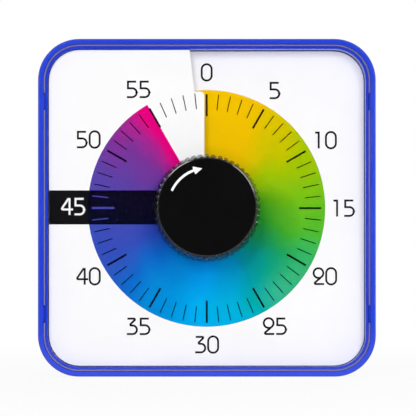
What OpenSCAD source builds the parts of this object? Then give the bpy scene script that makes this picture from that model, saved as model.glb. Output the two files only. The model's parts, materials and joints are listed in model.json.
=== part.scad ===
// Visual countdown timer: a square case with a flat clear cover, a white minute card,
// a rainbow film disk that winds in and out of the card's slit, and a black centre knob.
// Built in millimetres. Every piece is drawn lying on its back (x right, y up the dial,
// z towards the reader) and is stood up by face(), so that the dial looks along -Y.

/* [Case] */
// Side of the square case, seen from the front
case_side = 190.5; // [150:0.5:320]
// Depth of the closed case, from its back to the front lip
case_depth = 35; // [30:0.5:60]
// Radius of the case's four outer corners
case_corner = 23.2; // [10:0.1:40]
// Height above the back at which the rear housing meets the front frame
seam_height = 15; // [12:0.5:25]
// Thickness of the moulded walls
wall = 2.2; // [1.6:0.1:4]
// Bevel around the front lip
lip_bevel = 0.8; // [0.3:0.1:2]
// Bevel around the back
back_bevel = 1.6; // [0.5:0.1:4]
// Width of the bare lip outside the clear cover
lip_width = 2.9; // [2:0.1:6]
// Width of the ledge that carries the clear cover
ledge_width = 2.6; // [2:0.1:8]
// Thickness of the frame's wall around its opening
rim_wall = 1.3; // [1:0.1:2]
// Depth of the hollow moulded into the frame's rim
rim_hollow = 14.5; // [5:0.5:20]
// Distance of the case screws from the case's sides
screw_inset = 19.25; // [17:0.25:30]
// Side of the corner gussets that the case screws pass through
gusset_side = 26; // [18:1:40]
// Depth of the tongue that centres the rear housing in the frame
tongue_depth = 2.4; // [1:0.1:5]

/* [Clear cover] */
// Thickness of the clear cover
cover_thickness = 2; // [1:0.1:4]
// Bevel around the cover's front edge
cover_bevel = 0.7; // [0.2:0.1:1.5]
// How far the cover lies below the lip
cover_recess = 0.4; // [0:0.1:2]
// Radius of the hole that the knob's neck passes through
cover_hole = 15.5; // [13:0.1:25]
// Length of the four catch notches in the cover's side edges
notch_length = 9.9; // [5:0.1:20]
// Depth of the catch notches
notch_depth = 1.1; // [1:0.1:3]
// Height of the catch notches above and below the dial's centre
notch_reach = 60; // [30:1:75]

/* [Card and disk] */
// Rise of the card over one turn, from the zero side of the slit to its flap
spiral_rise = 9; // [8:0.1:14]
// Thickness of the minute card
card_thickness = 0.2; // [0.15:0.01:0.6]
// Thickness of the rainbow film
film_thickness = 0.15; // [0.1:0.01:0.4]
// Gap between the card and the film where they lie closest
leaf_gap = 0.06; // [0.04:0.01:0.3]
// Extra drop that lets the film run just past zero
zero_drop = 0.1; // [0:0.01:0.3]
// Gap between the card's flap and the clear cover
flap_gap = 1.5; // [1:0.1:4]
// Radius of the rainbow disk
disk_radius = 67.4; // [50:0.1:75]
// Angle shown on the dial as built, clockwise from zero (6 degrees to the minute)
shown_angle = 330; // [0:1:336]
// Distance of the flap's straight edge to the left of the dial's centre line
slit_offset = 1.4; // [0.5:0.1:4]
// Angle of the alarm's wiping arm above the dial's 15
wiper_angle = 10; // [0:1:30]
// Angle of the slit to the left of zero, outside the disk
slit_angle = 6.2; // [3:0.1:12]
// Radius of the card's centre hole
card_hole = 17.5; // [16:0.1:25]
// Radius of the film's centre hole
film_hole = 8.4; // [7:0.1:12]
// Steps around a full turn of the card and the film
turn_steps = 90; // [60:6:120]
// Degrees to each step where the card's outline rounds a corner
corner_step = 1.5; // [0.5:0.5:4]

/* [Dial carrier] */
// Thickness of the carrier's flat centre and of its sloping border
carrier_thickness = 1.7; // [1.2:0.1:3]
// Gap between the disk's rim and the carrier's round well
well_gap = 1.2; // [0.5:0.1:3]
// Radius of the carrier's bosses for the case screws
boss_radius = 4.2; // [3:0.1:6]

/* [Knob] */
// Radius over the ribs at the foot of the knob
grip_radius = 30.4; // [20:0.1:40]
// Radius over the ribs at the top of the grip, as a share of that at its foot
grip_taper = 0.93; // [0.85:0.01:1]
// Number of ribs around the grip
rib_count = 50; // [30:1:70]
// Depth of the ribs
rib_depth = 1.6; // [0.5:0.1:3]
// Height of the whole knob
knob_height = 13.9; // [8:0.1:25]
// Height of the smooth cap on the grip
cap_height = 3; // [1:0.1:6]
// Radius of the smooth cap
cap_radius = 27.5; // [15:0.1:35]
// Rounding of the cap's rim
cap_rounding = 0.6; // [0.3:0.1:2]
// Height by which the cap's face is crowned
cap_crown = 0.2; // [0.1:0.05:0.5]
// Gap between the knob and the clear cover
knob_gap = 1.5; // [0.5:0.1:3]
// Radius of the knob's neck
neck_radius = 12; // [10:0.1:14]

/* [Movement] */
// Radius of the arbor that carries the knob and the disk
arbor_radius = 2.5; // [2:0.1:4]
// Radius of the wheels' steel arbors
pivot_radius = 0.6; // [0.4:0.05:1]
// Teeth of the centre wheel, third wheel, fourth wheel and fifth wheel
wheel_teeth = [64, 60, 60, 60];
// Teeth of the pinions that drive them: third, fourth, fifth and rotor
pinion_teeth = [8, 8, 10, 12];
// Tooth size of the four meshes
tooth_size = [0.5, 0.4, 0.3, 0.24];
// Directions in degrees from each wheel's centre to the next one
train_angle = [225, 135, 90, 45];
// Thickness of the wheels
wheel_thickness = 0.8; // [0.5:0.1:1.5]
// Thickness of the pinions
pinion_thickness = 1.6; // [1:0.1:3]
// Wall of the movement's two-part case
movement_wall = 1.2; // [0.8:0.1:2]
// Depth of the movement's case
movement_depth = 14.2; // [13:0.1:15]
// Size of the movement's case across and up
movement_size = [54, 50];
// Centre of the movement's case, from the arbor
movement_centre = [-7, -3];
// Distance of the fixing ears' holes outside the movement's case
ear_reach = 3.8; // [3.4:0.1:6]
// Distance of the fixing ears from the case's upper and lower ends
ear_inset = 8; // [4:0.5:15]

/* [Battery] */
// Radius of the round cell
cell_radius = 7.1; // [5:0.1:10]
// Length of the cell with its raised contact
cell_length = 50.2; // [40:0.1:65]
// Distance of the battery compartment to the right of the dial's centre
bay_reach = 62; // [50:0.5:70]
// Play on each side of the cell in its compartment
cell_play = 0.5; // [0.2:0.1:2]
// Room for the spring and the contact plates at the cell's two ends
spring_room = 7.8; // [6:0.1:12]
// Room between the cell's raised contact and the end of the compartment
contact_room = 2.1; // [1.5:0.1:3]
// Thickness of the battery door
door_thickness = 1.8; // [1.2:0.1:3]
// How far the door overlaps the compartment on each side
door_overlap = 2.4; // [1:0.1:5]

/* [Stand, switch and sounder] */
// Width of the fold-out stand
stand_width = 44; // [20:1:80]
// Length of the fold-out stand, from its hinge to its foot
stand_length = 54; // [30:1:58]
// Thickness of the stand
stand_thickness = 3; // [2:0.1:5]
// Depth of the stand's hinge below the dial's centre
stand_drop = 36; // [34:0.5:60]
// Radius of the stand's hinge pins
stand_pin = 1.2; // [0.8:0.1:2]
// Place of the sound switch
switch_place = [-62, -45];
// Travel of the sound switch
switch_travel = 4; // [2:0.5:8]
// Place of the sounder and its grille
sounder_place = [-62, 0];
// Radius of the sounder
sounder_radius = 14.5; // [10:0.1:20]
// Radius of the round part of the hanging slot
hang_radius = 4; // [3:0.1:6]
// Half the width of the hanging slot's narrow part
hang_slot = 2; // [1.5:0.1:2.5]
// Height of the hanging slot above the dial's centre
hang_reach = 70; // [50:1:80]

/* [Fits] */
// Play between pieces that rest on each other
seat = 0.02; // [0:0.01:0.1]
// Play of the card on its sloping seat
card_seat = 0.06; // [0.03:0.01:0.2]
// Play around the clear cover, the card and the carrier inside the frame
side_play = 0.3; // [0.1:0.05:1]
// Radial play of a turning shaft in its bearing
running_play = 0.05; // [0.02:0.01:0.1]
// Radial play of pieces fixed on the arbor
arbor_play = 0.02; // [0:0.01:0.05]
// Gap around the battery door, the stand and the switch
flap_play = 0.3; // [0.1:0.05:0.6]
// Radial play of a screw in its hole
screw_play = 0.1; // [0.05:0.05:0.5]

/* [Hidden] */
$fn = 48;
overall_depth = case_depth + knob_height + knob_gap - cover_recess;
pocket_side = case_side - 2 * lip_width;
pocket_corner = case_corner - lip_width;
screw_reach = case_side / 2 - screw_inset;
opening_side = pocket_side - 2 * ledge_width;
opening_corner = pocket_corner - ledge_width;
cover_front = case_depth - cover_recess;
cover_back = cover_front - cover_thickness;
card_level = cover_back - flap_gap - spiral_rise - card_thickness;
film_level = card_level - film_thickness - leaf_gap - zero_drop;
carrier_top = film_level - 1;
carrier_low = carrier_top - carrier_thickness;
gusset_top = carrier_low - seat;
hub_low = carrier_top + 0.3;
hub_core = film_hole - 0.2;
hub_top = film_level + spiral_rise + 1;
knob_low = cover_front + knob_gap;
grip_top = knob_low + knob_height - cap_height;
movement_top = carrier_low - seat;
movement_low = movement_top - movement_depth;
inside_top = movement_top - movement_wall;
inside_low = movement_low + movement_wall;
split_height = movement_low + 8;
movement_left = movement_centre[0] - movement_size[0] / 2;
movement_right = movement_centre[0] + movement_size[0] / 2;
movement_bottom = movement_centre[1] - movement_size[1] / 2;
movement_upper = movement_centre[1] + movement_size[1] / 2;
ear_places = [
    [movement_left - ear_reach, movement_bottom + ear_inset],
    [movement_right + ear_reach, movement_upper - ear_inset],
    [movement_right + ear_reach, movement_bottom + ear_inset]
];
board_right = movement_right - movement_wall - 0.4;
board_bottom = movement_bottom + movement_wall + 0.4;
coil_line = movement_upper - movement_wall - 3.3;
wheel_level = [inside_top - 2.8, inside_top - 4.8, inside_top - 6.8, inside_low + 1];
stator_low = inside_low + 3.6;
board_low = inside_low + 1.4;
board_top = board_low + 1;
screw_radius = 1.5;
screw_head = 3;
counterbore_depth = 7;
ear_screw_radius = 1.1;
pin_half = stand_thickness / 2;
stand_pin_reach = stand_width / 2 + 2.5;
pin_room = 0.3;
door_axis = door_thickness / 2;
bay_width = 2 * (cell_radius + cell_play);
door_pin_reach = bay_width / 2 + door_overlap + 1.5;
bay_length = cell_length + spring_room;
cell_middle = bay_length / 2 - contact_room - cell_length / 2;
cell_centre = door_thickness + 0.6 + cell_radius;
bay_floor = cell_centre + cell_radius + side_play;
// Rings of the card: radius and the angle at which each starts, left of zero
card_rings = [
    [card_hole, -asin(slit_offset / card_hole)],
    [25, -asin(slit_offset / 25)],
    [40, -asin(slit_offset / 40)],
    [disk_radius - 3.2, -asin(slit_offset / (disk_radius - 3.2))],
    [disk_radius - 2.2, -1.7],
    [disk_radius - 1.6, -3],
    [disk_radius - 1.2, 0.6 - slit_angle],
    [disk_radius - 0.7, -slit_angle],
    [disk_radius + 14, -slit_angle],
    [0, -slit_angle]
];
// Angle through which the carrier's border and the hub's seat wind, short of a full turn
slit_end = 359.4;
// Radii of the film's rings
film_rings = [film_hole, 13, 20, 30, 45, disk_radius];

// Stands a piece up: x stays, y becomes up, and z comes out of the dial
module face() {
    translate([0, overall_depth / 2, case_side / 2])
        rotate([90, 0, 0])
            children();
}

// Centres of the train: arbor, third, fourth, fifth wheel and rotor
function step_from(p, k) = p + tooth_size[k] * (wheel_teeth[k] + pinion_teeth[k]) / 2
    * [cos(train_angle[k]), sin(train_angle[k])];
third_centre = step_from([0, 0], 0);
fourth_centre = step_from(third_centre, 1);
fifth_centre = step_from(fourth_centre, 2);
rotor_centre = step_from(fifth_centre, 3);

// A rectangle with round corners
module rounded(size, radius) {
    inner = [size[0] / 2 - radius, size[1] / 2 - radius];
    square([size[0], 2 * inner[1]], center = true);
    square([2 * inner[0], size[1]], center = true);
    for (sx = [-1, 1], sy = [-1, 1])
        translate([sx * inner[0], sy * inner[1]])
            circle(radius);
}

// An upright block with a rounded outline between two heights
module block(size, radius, low, high) {
    translate([0, 0, low])
        linear_extrude(high - low)
            rounded(size, radius);
}

// A layer that narrows by its own height all round, with round corners
module bevelled(side, radius, low, height) {
    half = side / 2;
    flank = [[-half, low], [half, low], [half - height, low + height], [height - half, low + height]];
    rotate([90, 0, 90])
        linear_extrude(side - 2 * radius, center = true)
            polygon(flank);
    rotate([90, 0, 0])
        linear_extrude(side - 2 * radius, center = true)
            polygon(flank);
    for (sx = [-1, 1], sy = [-1, 1])
        translate([sx * (half - radius), sy * (half - radius), low])
            cylinder(r1 = radius, r2 = radius - height, h = height);
}

// A round post or hole between two heights
module post(place, radius, low, high) {
    translate([place[0], place[1], low])
        cylinder(r = radius, h = high - low);
}

// A box given by its low corner and its high corner
module span(low, high) {
    translate(low)
        cube(high - low);
}

// The four corner screw places
module at_screws() {
    for (sx = [-1, 1], sy = [-1, 1])
        translate([sx * screw_reach, sy * screw_reach, 0])
            children();
}

// A point at a radius and an angle clockwise from the top of the dial
function spot(radius, angle, height) = [radius * sin(angle), radius * cos(angle), height];

// Even steps from one value up to, but not including, another
function sweep(from, to, step) =
    let (n = ceil((to - from) / step))
    [for (i = [0 : n - 1]) from + (to - from) * i / n];

// Distance from the centre to a rounded square's outline at an angle
function reach(angle, half, corner) =
    let (u = max(abs(sin(angle)), abs(cos(angle))))
    let (v = min(abs(sin(angle)), abs(cos(angle))))
    let (inner = half - corner)
    v * half / u <= inner
        ? half / u
        : inner * (u + v) + sqrt(pow(inner * (u + v), 2) - 2 * inner * inner + corner * corner);

// Joins rows of points into one closed skin; the cap lists the triangles of an end
module loft(rows, cap) {
    count = len(rows[0]);
    last = (len(rows) - 1) * count;
    sides = [
        for (j = [0 : len(rows) - 2], k = [0 : count - 1])
            let (a = j * count + k, b = j * count + (k + 1) % count)
            each [[a, b, b + count], [a, b + count, a + count]]
    ];
    starts = [for (t = cap) [t[2], t[1], t[0]]];
    ends = [for (t = cap) [t[0] + last, t[1] + last, t[2] + last]];
    polyhedron([for (row = rows) each row], concat(sides, starts, ends));
}

// Cap of a thin leaf with n rings, listed along its top and back along its underside
function leaf_cap(n) = [
    for (i = [0 : n - 2])
        each [[i, i + 1, 2 * n - 2 - i], [i, 2 * n - 2 - i, 2 * n - 1 - i]]
];

/* ---- case ---- */

module front_frame() {
    catch_low = cover_back - 3;
    color([0.16, 0.26, 0.80])
        face() {
            difference() {
                union() {
                    block([case_side, case_side], case_corner, seam_height, case_depth - lip_bevel);
                    bevelled(case_side, case_corner, case_depth - lip_bevel, lip_bevel);
                }
                block([pocket_side, pocket_side], pocket_corner, cover_back, case_depth + 1);
                block([opening_side, opening_side], opening_corner, seam_height - 1, case_depth);
                rim_channel(seam_height - 1, seam_height + rim_hollow);
                for (sx = [-1, 1], sy = [-1, 1])
                    translate([sx * (pocket_side / 2 - notch_depth / 2), sy * notch_reach, 0])
                        span([-notch_depth / 2, -notch_length / 2, catch_low],
                             [notch_depth / 2, notch_length / 2, cover_back + 1]);
            }
            frame_catches(catch_low);
            frame_gussets();
        }
}

// The hollow between the frame's outer and inner walls, open at the back
module rim_channel(low, high) {
    outer = case_side - 2 * wall;
    inner = opening_side + 2 * rim_wall;
    difference() {
        block([outer, outer], case_corner - wall, low, high);
        block([inner, inner], opening_corner + rim_wall, low - 1, high + 1);
    }
}

// Four springy catches that stand in the cover's notches and hold its edges
module frame_catches(catch_low) {
    for (sx = [-1, 1], sy = [-1, 1])
        translate([sx * (pocket_side / 2 - 0.35), sy * notch_reach, 0])
            span([-0.45, -notch_length / 2 + 0.9, catch_low - 0.3],
                 [0.45, notch_length / 2 - 0.9, cover_back + 0.4]);
}

// Corner gussets under the carrier, with a clear hole for each case screw
module frame_gussets() {
    corner = opening_side / 2 - gusset_side / 2;
    difference() {
        translate([0, 0, seam_height])
            linear_extrude(gusset_top - seam_height)
                intersection() {
                    rounded([opening_side + 1, opening_side + 1], opening_corner + 0.5);
                    for (sx = [-1, 1], sy = [-1, 1])
                        translate([sx * corner, sy * corner])
                            square(gusset_side + 2, center = true);
                }
        at_screws()
            post([0, 0], screw_radius + screw_play, seam_height - 1, gusset_top + 1);
    }
}

module lens() {
    side = pocket_side - 2 * side_play;
    color([0.92, 0.95, 0.98, 0.25])
        face()
            difference() {
                union() {
                    block([side, side], pocket_corner - side_play, cover_back + seat, cover_front - cover_bevel);
                    bevelled(side, pocket_corner - side_play, cover_front - cover_bevel, cover_bevel);
                }
                post([0, 0], cover_hole, cover_back - 1, cover_front + 1);
                for (sx = [-1, 1], sy = [-1, 1])
                    translate([sx * side / 2, sy * notch_reach, 0])
                        span([-notch_depth, -notch_length / 2, cover_back - 1],
                             [notch_depth, notch_length / 2, cover_front + 1]);
            }
}

module rear_housing() {
    inner = case_side - 2 * wall;
    tongue = inner - 0.4;
    color([0.16, 0.26, 0.80])
        face() {
            difference() {
                union() {
                    difference() {
                        union() {
                            block([case_side, case_side], case_corner, back_bevel, seam_height - seat);
                            mirror([0, 0, 1])
                                bevelled(case_side, case_corner, -back_bevel, back_bevel);
                        }
                        block([inner, inner], case_corner - wall, wall, seam_height + 1);
                    }
                    block([inner + 1, inner + 1], case_corner - wall + 0.5, seam_height - 3, seam_height - seat);
                    block([tongue, tongue], case_corner - wall - 0.2, seam_height - 1, seam_height + tongue_depth);
                }
                block([tongue - 2.8, tongue - 2.8], case_corner - wall - 1.6, wall, case_depth);
                back_cuts();
            }
            at_screws()
                difference() {
                    post([0, 0], boss_radius + 0.6, wall - 0.5, seam_height - seat);
                    post([0, 0], screw_head + 0.4, -1, counterbore_depth);
                    post([0, 0], screw_radius + screw_play, 0, seam_height);
                }
            battery_bay();
            stand_tray();
            sounder_ring();
            switch_rails();
        }
}

// Everything cut through the back wall
module back_cuts() {
    at_screws()
        post([0, 0], screw_head + 0.4, -1, wall + 1);
    post([0, hang_reach], hang_radius, -1, wall + 1);
    span([-hang_slot, hang_reach, -1], [hang_slot, hang_reach + 8, wall + 1]);
    post([0, hang_reach + 8], hang_slot, -1, wall + 1);
    translate([bay_reach, 0, 0])
        span([-door_pin_reach - 2 * pin_room, -bay_length / 2 - 3.6, -1],
             [door_pin_reach + 2 * pin_room, bay_length / 2 + 3.6, wall + 1]);
    span([-stand_pin_reach - 2 * pin_room, -stand_drop - stand_length - 0.4, -1],
         [stand_pin_reach + 2 * pin_room, -stand_drop + 3, wall + 1]);
    for (row = [-2 : 2], column = [-2 : 2])
        if (abs(row) + abs(column) < 4)
            post(sounder_place + 4.2 * [column, row], 1.1, -1, wall + 1);
    translate([switch_place[0], switch_place[1], 0]) {
        span([-8, -4.5, -1], [8, 4.5, 1]);
        span([-3 - switch_travel / 2 - flap_play, -2 - flap_play, -1],
             [3 + switch_travel / 2 + flap_play, 2 + flap_play, wall + 1]);
    }
}

// The battery compartment: a box open at the back, with a rebate and pin holes for the door
module battery_bay() {
    width = bay_width / 2;
    length = bay_length / 2;
    rebate = door_overlap + flap_play;
    translate([bay_reach, 0, 0])
        difference() {
            span([-width - 5, -length - 5, 0], [width + 5, length + 5, wall + 2]);
            span([-width - rebate, -length - rebate, -1], [width + rebate, length + rebate, door_thickness + 0.1]);
            span([-width, -length, -1], [width, length, wall + 3]);
            door_pins(running_play, pin_room);
        }
    translate([bay_reach, 0, 0])
        difference() {
            span([-width - 1.5, -length - 1.5, wall + 1.9], [width + 1.5, length + 1.5, bay_floor + 1.2]);
            span([-width, -length, wall], [width, length, bay_floor]);
            for (sy = [-1, 1])
                translate([0, sy * (length + 0.75), 12])
                    cube([3.4, 3, 2.4], center = true);
        }
}

// The door's two hinge pins, or with play the holes they turn in
module door_pins(play, deeper) {
    translate([0, bay_length / 2 + door_overlap - door_axis, door_axis])
        rotate([0, 90, 0])
            cylinder(r = 0.65 + play, h = 2 * (door_pin_reach + deeper), center = true);
}

// The stand's tray: a shallow pocket with holes for the hinge pins
module stand_tray() {
    half = stand_width / 2 + flap_play;
    foot = -stand_drop - stand_length;
    difference() {
        span([-half - 4, foot - 2, 0], [half + 4, -stand_drop + 6, stand_thickness + 2]);
        span([-half, foot - flap_play, -1], [half, -stand_drop + pin_half + flap_play, stand_thickness + 0.4]);
        translate([0, -stand_drop, pin_half])
            rotate([0, 90, 0])
                cylinder(r = stand_pin + running_play, h = 2 * (stand_pin_reach + pin_room), center = true);
    }
}

// A round wall that locates the sounder behind its grille
module sounder_ring() {
    difference() {
        post(sounder_place, sounder_radius + 1.8, wall - 0.5, wall + 6);
        post(sounder_place, sounder_radius + 0.2, -1, wall + 7);
    }
}

// Two rails that guide the switch and hold its body
module switch_rails() {
    translate([switch_place[0], switch_place[1], 0])
        for (sy = [-1, 1])
            translate([0, sy * 5.3, 0])
                span([-9, -1.2, wall - 0.5], [9, 1.2, wall + 5]);
}

/* ---- dial ---- */

// Where a card point lies: the outermost ring follows the square opening
function card_point(ring, turn, lift) =
    let (angle = ring[1] + turn)
    let (half = opening_side / 2 - side_play)
    let (radius = ring[0] > 0 ? ring[0] : reach(angle, half, opening_corner - side_play))
    spot(radius, angle, card_level + lift + spiral_rise * angle / 360);

// Turns at which the card is cut: evenly along its sides, and finely round its corners
function card_turns(last) =
    let (half = opening_side / 2)
    let (bend = 45 - atan((half - opening_corner) / (half - side_play)))
    concat(
        [
            for (q = [0 : 3])
                let (corner = 45 + 90 * q + slit_angle)
                each concat(
                    sweep(q == 0 ? 0 : corner - 90 + bend, corner - bend, 360 / turn_steps),
                    sweep(corner - bend, corner + bend, corner_step)
                )
        ],
        sweep(315 + slit_angle + bend, last, 360 / turn_steps),
        [last]
    );

module dial_card() {
    n = len(card_rings);
    color([0.97, 0.97, 0.98])
        face()
            loft([
                for (turn = card_turns(360))
                    concat(
                        [for (i = [0 : n - 1]) card_point(card_rings[i], turn, card_thickness)],
                        [for (i = [n - 1 : -1 : 0]) card_point(card_rings[i], turn, 0)]
                    )
            ], leaf_cap(n));
}

module dial_carrier() {
    well = disk_radius + well_gap;
    half = opening_side / 2 - side_play;
    color([0.90, 0.90, 0.91])
        face() {
            difference() {
                union() {
                    post([0, 0], well + carrier_thickness - 0.1, carrier_low, carrier_top);
                    loft([
                        for (turn = card_turns(slit_end))
                            carrier_section(turn - slit_angle, well, half)
                    ], [[4, 5, 0], [4, 0, 1], [4, 1, 2], [4, 2, 3]]);
                    at_screws()
                        post([0, 0], boss_radius, carrier_low, carrier_low + 3.6);
                    for (corner = [[1, -1, 135], [-1, -1, 225], [-1, 1, 315]])
                        post([corner[0] * screw_reach, corner[1] * screw_reach], boss_radius, carrier_low,
                             card_level + spiral_rise * corner[2] / 360 - 0.9);
                }
                post([0, 0], arbor_radius + 1, carrier_low - 1, carrier_top + 1);
                at_screws()
                    post([0, 0], screw_radius + screw_play, carrier_low - 1, carrier_low + 3.2);
                for (place = ear_places)
                    post(place, ear_screw_radius + screw_play, carrier_low - 1, carrier_low + 1.4);
            }
        }
}

// Section of the carrier at an angle: the well's wall, then the sloping border under the card
function carrier_section(angle, well, half) =
    let (top = card_level + spiral_rise * angle / 360 - card_seat)
    let (far = reach(angle, half, opening_corner - side_play))
    [
        spot(well, angle, carrier_low),
        spot(well, angle, top),
        spot(far, angle, top),
        spot(far, angle, top - carrier_thickness),
        spot(well + carrier_thickness, angle, top - carrier_thickness),
        spot(well + carrier_thickness, angle, carrier_low)
    ];

module colour_disk() {
    n = len(film_rings);
    color([0.15, 0.60, 0.80, 0.8])
        face()
            loft([
                for (j = [0 : turn_steps])
                    let (turn = 360 * j / turn_steps, level = film_level + spiral_rise * turn / 360)
                    concat(
                        [for (i = [0 : n - 1]) spot(film_rings[i], turn + shown_angle, level + film_thickness)],
                        [for (i = [n - 1 : -1 : 0]) spot(film_rings[i], turn + shown_angle, level)]
                    )
            ], leaf_cap(n));
}

module disk_hub() {
    color([0.93, 0.93, 0.92])
        face()
            difference() {
                union() {
                    post([0, 0], hub_core, hub_low, hub_top);
                    loft([
                        for (j = [0 : turn_steps / 2])
                            let (turn = 2 * slit_end * j / turn_steps, angle = turn + shown_angle)
                            let (level = film_level + spiral_rise * turn / 360 - card_seat)
                            [
                                spot(hub_core - 1, angle, level),
                                spot(card_hole - 2.5, angle, level),
                                spot(card_hole - 2.5, angle, hub_low),
                                spot(hub_core - 1, angle, hub_low)
                            ]
                    ], leaf_cap(2));
                }
                post([0, 0], arbor_radius + arbor_play, hub_low - 1, hub_top + 1);
            }
}

/* ---- knob ---- */

module knob_grip() {
    valley = grip_radius - rib_depth;
    step = 360 / rib_count;
    outline = [
        for (i = [0 : rib_count - 1])
            each [
                for (p = [[-0.5, 0], [-0.38, 0.45], [-0.2, 0.86], [0, 1], [0.2, 0.86], [0.38, 0.45]])
                    let (a = (i + p[0]) * step, r = valley + rib_depth * p[1])
                    [r * cos(a), r * sin(a)]
            ]
    ];
    color([0.04, 0.04, 0.045])
        face() {
            difference() {
                translate([0, 0, knob_low])
                    linear_extrude(grip_top - knob_low, scale = grip_taper)
                        polygon(outline);
                post([0, 0], valley * grip_taper - 2.2, knob_low - 1, grip_top - 2);
            }
            difference() {
                post([0, 0], neck_radius, hub_top + seat, grip_top - 1);
                post([0, 0], arbor_radius + arbor_play, hub_top - 1, grip_top - 3);
            }
        }
}

module knob_cap() {
    low = grip_top + seat;
    high = knob_low + knob_height;
    r = cap_rounding;
    rim = high - cap_crown;
    color([0.02, 0.02, 0.025])
        face()
            rotate_extrude($fn = 96)
                polygon(concat(
                    [[0, low], [cap_radius, low]],
                    [for (a = [0 : 30 : 90]) [cap_radius - r + r * cos(a), rim - r + r * sin(a)]],
                    [[0, high]]));
}

/* ---- movement ---- */

module arbor() {
    collar = wheel_level[0] - 1.4;
    color([0.78, 0.78, 0.80])
        face() {
            post([0, 0], arbor_radius, inside_low - 0.8, grip_top - 4);
            post([0, 0], 4.6, collar, wheel_level[0] - seat);
        }
}

// A toothed wheel with one tooth pointing along an angle, or one gap if turned half a tooth
module toothed(teeth, size, angle, thickness) {
    pitch = teeth * size / 2;
    step = 360 / teeth;
    linear_extrude(thickness)
        polygon([
            for (i = [0 : teeth - 1])
                each [
                    for (p = [[-0.26, -1.2], [-0.1, 0.85], [0.1, 0.85], [0.26, -1.2]])
                        let (a = angle + (i + p[0]) * step, r = pitch + size * p[1])
                        [r * cos(a), r * sin(a)]
                ]
        ]);
}

// A wheel of the train: its wheel, its pinion and its steel arbor
module train_wheel(k, centre) {
    translate([centre[0], centre[1], 0]) {
        translate([0, 0, wheel_level[k]])
            toothed(wheel_teeth[k], tooth_size[k], train_angle[k], wheel_thickness);
        translate([0, 0, wheel_level[k - 1] - (pinion_thickness - wheel_thickness) / 2])
            toothed(pinion_teeth[k - 1], tooth_size[k - 1],
                    train_angle[k - 1] + 180 + 180 / pinion_teeth[k - 1], pinion_thickness);
        post([0, 0], pivot_radius + 0.35, wheel_level[k], wheel_level[k - 1]);
        post([0, 0], pivot_radius, inside_low - 0.7, inside_top + 0.7);
    }
}

module movement_box(low, high) {
    inner = movement_size - 2 * movement_wall * [1, 1];
    translate([movement_centre[0], movement_centre[1], 0])
        difference() {
            block(movement_size, 4, low, high);
            block(inner, 4 - movement_wall, max(low, inside_low) - (low < inside_low ? 0 : 1),
                  high > inside_top ? inside_top : high + 1);
        }
}

// Bearings for the four small arbors and for the main arbor
module bearings(low, high) {
    for (place = [third_centre, fourth_centre, fifth_centre, rotor_centre])
        post(place, pivot_radius + running_play, low, high);
}

module movement_front() {
    color([0.12, 0.12, 0.13])
        face()
            difference() {
                union() {
                    movement_box(split_height, movement_top);
                    for (place = ear_places)
                        ear(place);
                }
                bearings(inside_top - 1, inside_top + 0.8);
                post([0, 0], arbor_radius + running_play, inside_top - 1, movement_top + 1);
                for (place = ear_places)
                    post(place, ear_screw_radius + screw_play, inside_top - 3, movement_top + 1);
            }
}

// An ear of the movement's case, joined to its nearest side
module ear(place) {
    low = movement_top - 2;
    left = place[0] < movement_left;
    post(place, 3.8, low, movement_top);
    span([left ? place[0] : movement_right - 0.6, place[1] - 3.8, low],
         [left ? movement_left + 0.6 : place[0], place[1] + 3.8, movement_top]);
}

module movement_back() {
    color([0.12, 0.12, 0.13])
        face() {
            difference() {
                union() {
                    movement_box(movement_low, split_height - seat);
                    post([0, 0], arbor_radius + 1.2, inside_low - 0.2, inside_low + 0.6);
                }
                bearings(inside_low - 0.8, inside_low + 1);
                post([0, 0], arbor_radius + running_play, inside_low - 0.9, inside_low + 2);
                for (gap = [[movement_left, 0], [movement_right, -14]])
                    translate([gap[0], gap[1], inside_low + 5])
                        cube([4, 4, 2], center = true);
            }
            for (place = [[9, board_bottom + 2.4], [board_right - 2.4, 4], [-3, -15]])
                post(place, 1.3, inside_low - 0.2, board_low - seat);
            for (place = [[-9, coil_line + 0.5], [board_right - 2.4, coil_line - 4.5]])
                post(place, 1.3, inside_low - 0.2, stator_low - seat);
        }
}

module centre_wheel() {
    color([0.93, 0.93, 0.90])
        face()
            difference() {
                union() {
                    translate([0, 0, wheel_level[0]])
                        toothed(wheel_teeth[0], tooth_size[0], train_angle[0], wheel_thickness);
                    post([0, 0], 5, wheel_level[0], wheel_level[0] + 1.2);
                }
                post([0, 0], arbor_radius + running_play, wheel_level[0] - 1, wheel_level[0] + 2);
            }
}

module clutch_spring() {
    low = wheel_level[0] + 1.2 + seat;
    color([0.80, 0.78, 0.70])
        face()
            difference() {
                union() {
                    post([0, 0], 3.6, low, low + 0.3);
                    for (angle = [0, 120, 240])
                        rotate([0, 0, angle])
                            span([3, -1, low], [4.7, 1, low + 0.3]);
                }
                post([0, 0], arbor_radius + arbor_play, low - 1, low + 1);
            }
}

module third_wheel() {
    color([0.93, 0.93, 0.90])
        face()
            train_wheel(1, third_centre);
}

module fourth_wheel() {
    color([0.93, 0.93, 0.90])
        face()
            train_wheel(2, fourth_centre);
}

module fifth_wheel() {
    color([0.93, 0.93, 0.90])
        face()
            train_wheel(3, fifth_centre);
}

module rotor() {
    color([0.35, 0.35, 0.37])
        face()
            translate([rotor_centre[0], rotor_centre[1], 0]) {
                translate([0, 0, wheel_level[3] - (pinion_thickness - wheel_thickness) / 2])
                    toothed(pinion_teeth[3], tooth_size[3], train_angle[3] + 180 + 180 / pinion_teeth[3],
                            pinion_thickness);
                post([0, 0], 3, stator_low - 0.3, stator_low + 1.5);
                post([0, 0], pivot_radius, inside_low - 0.7, inside_top + 0.7);
            }
}

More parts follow.
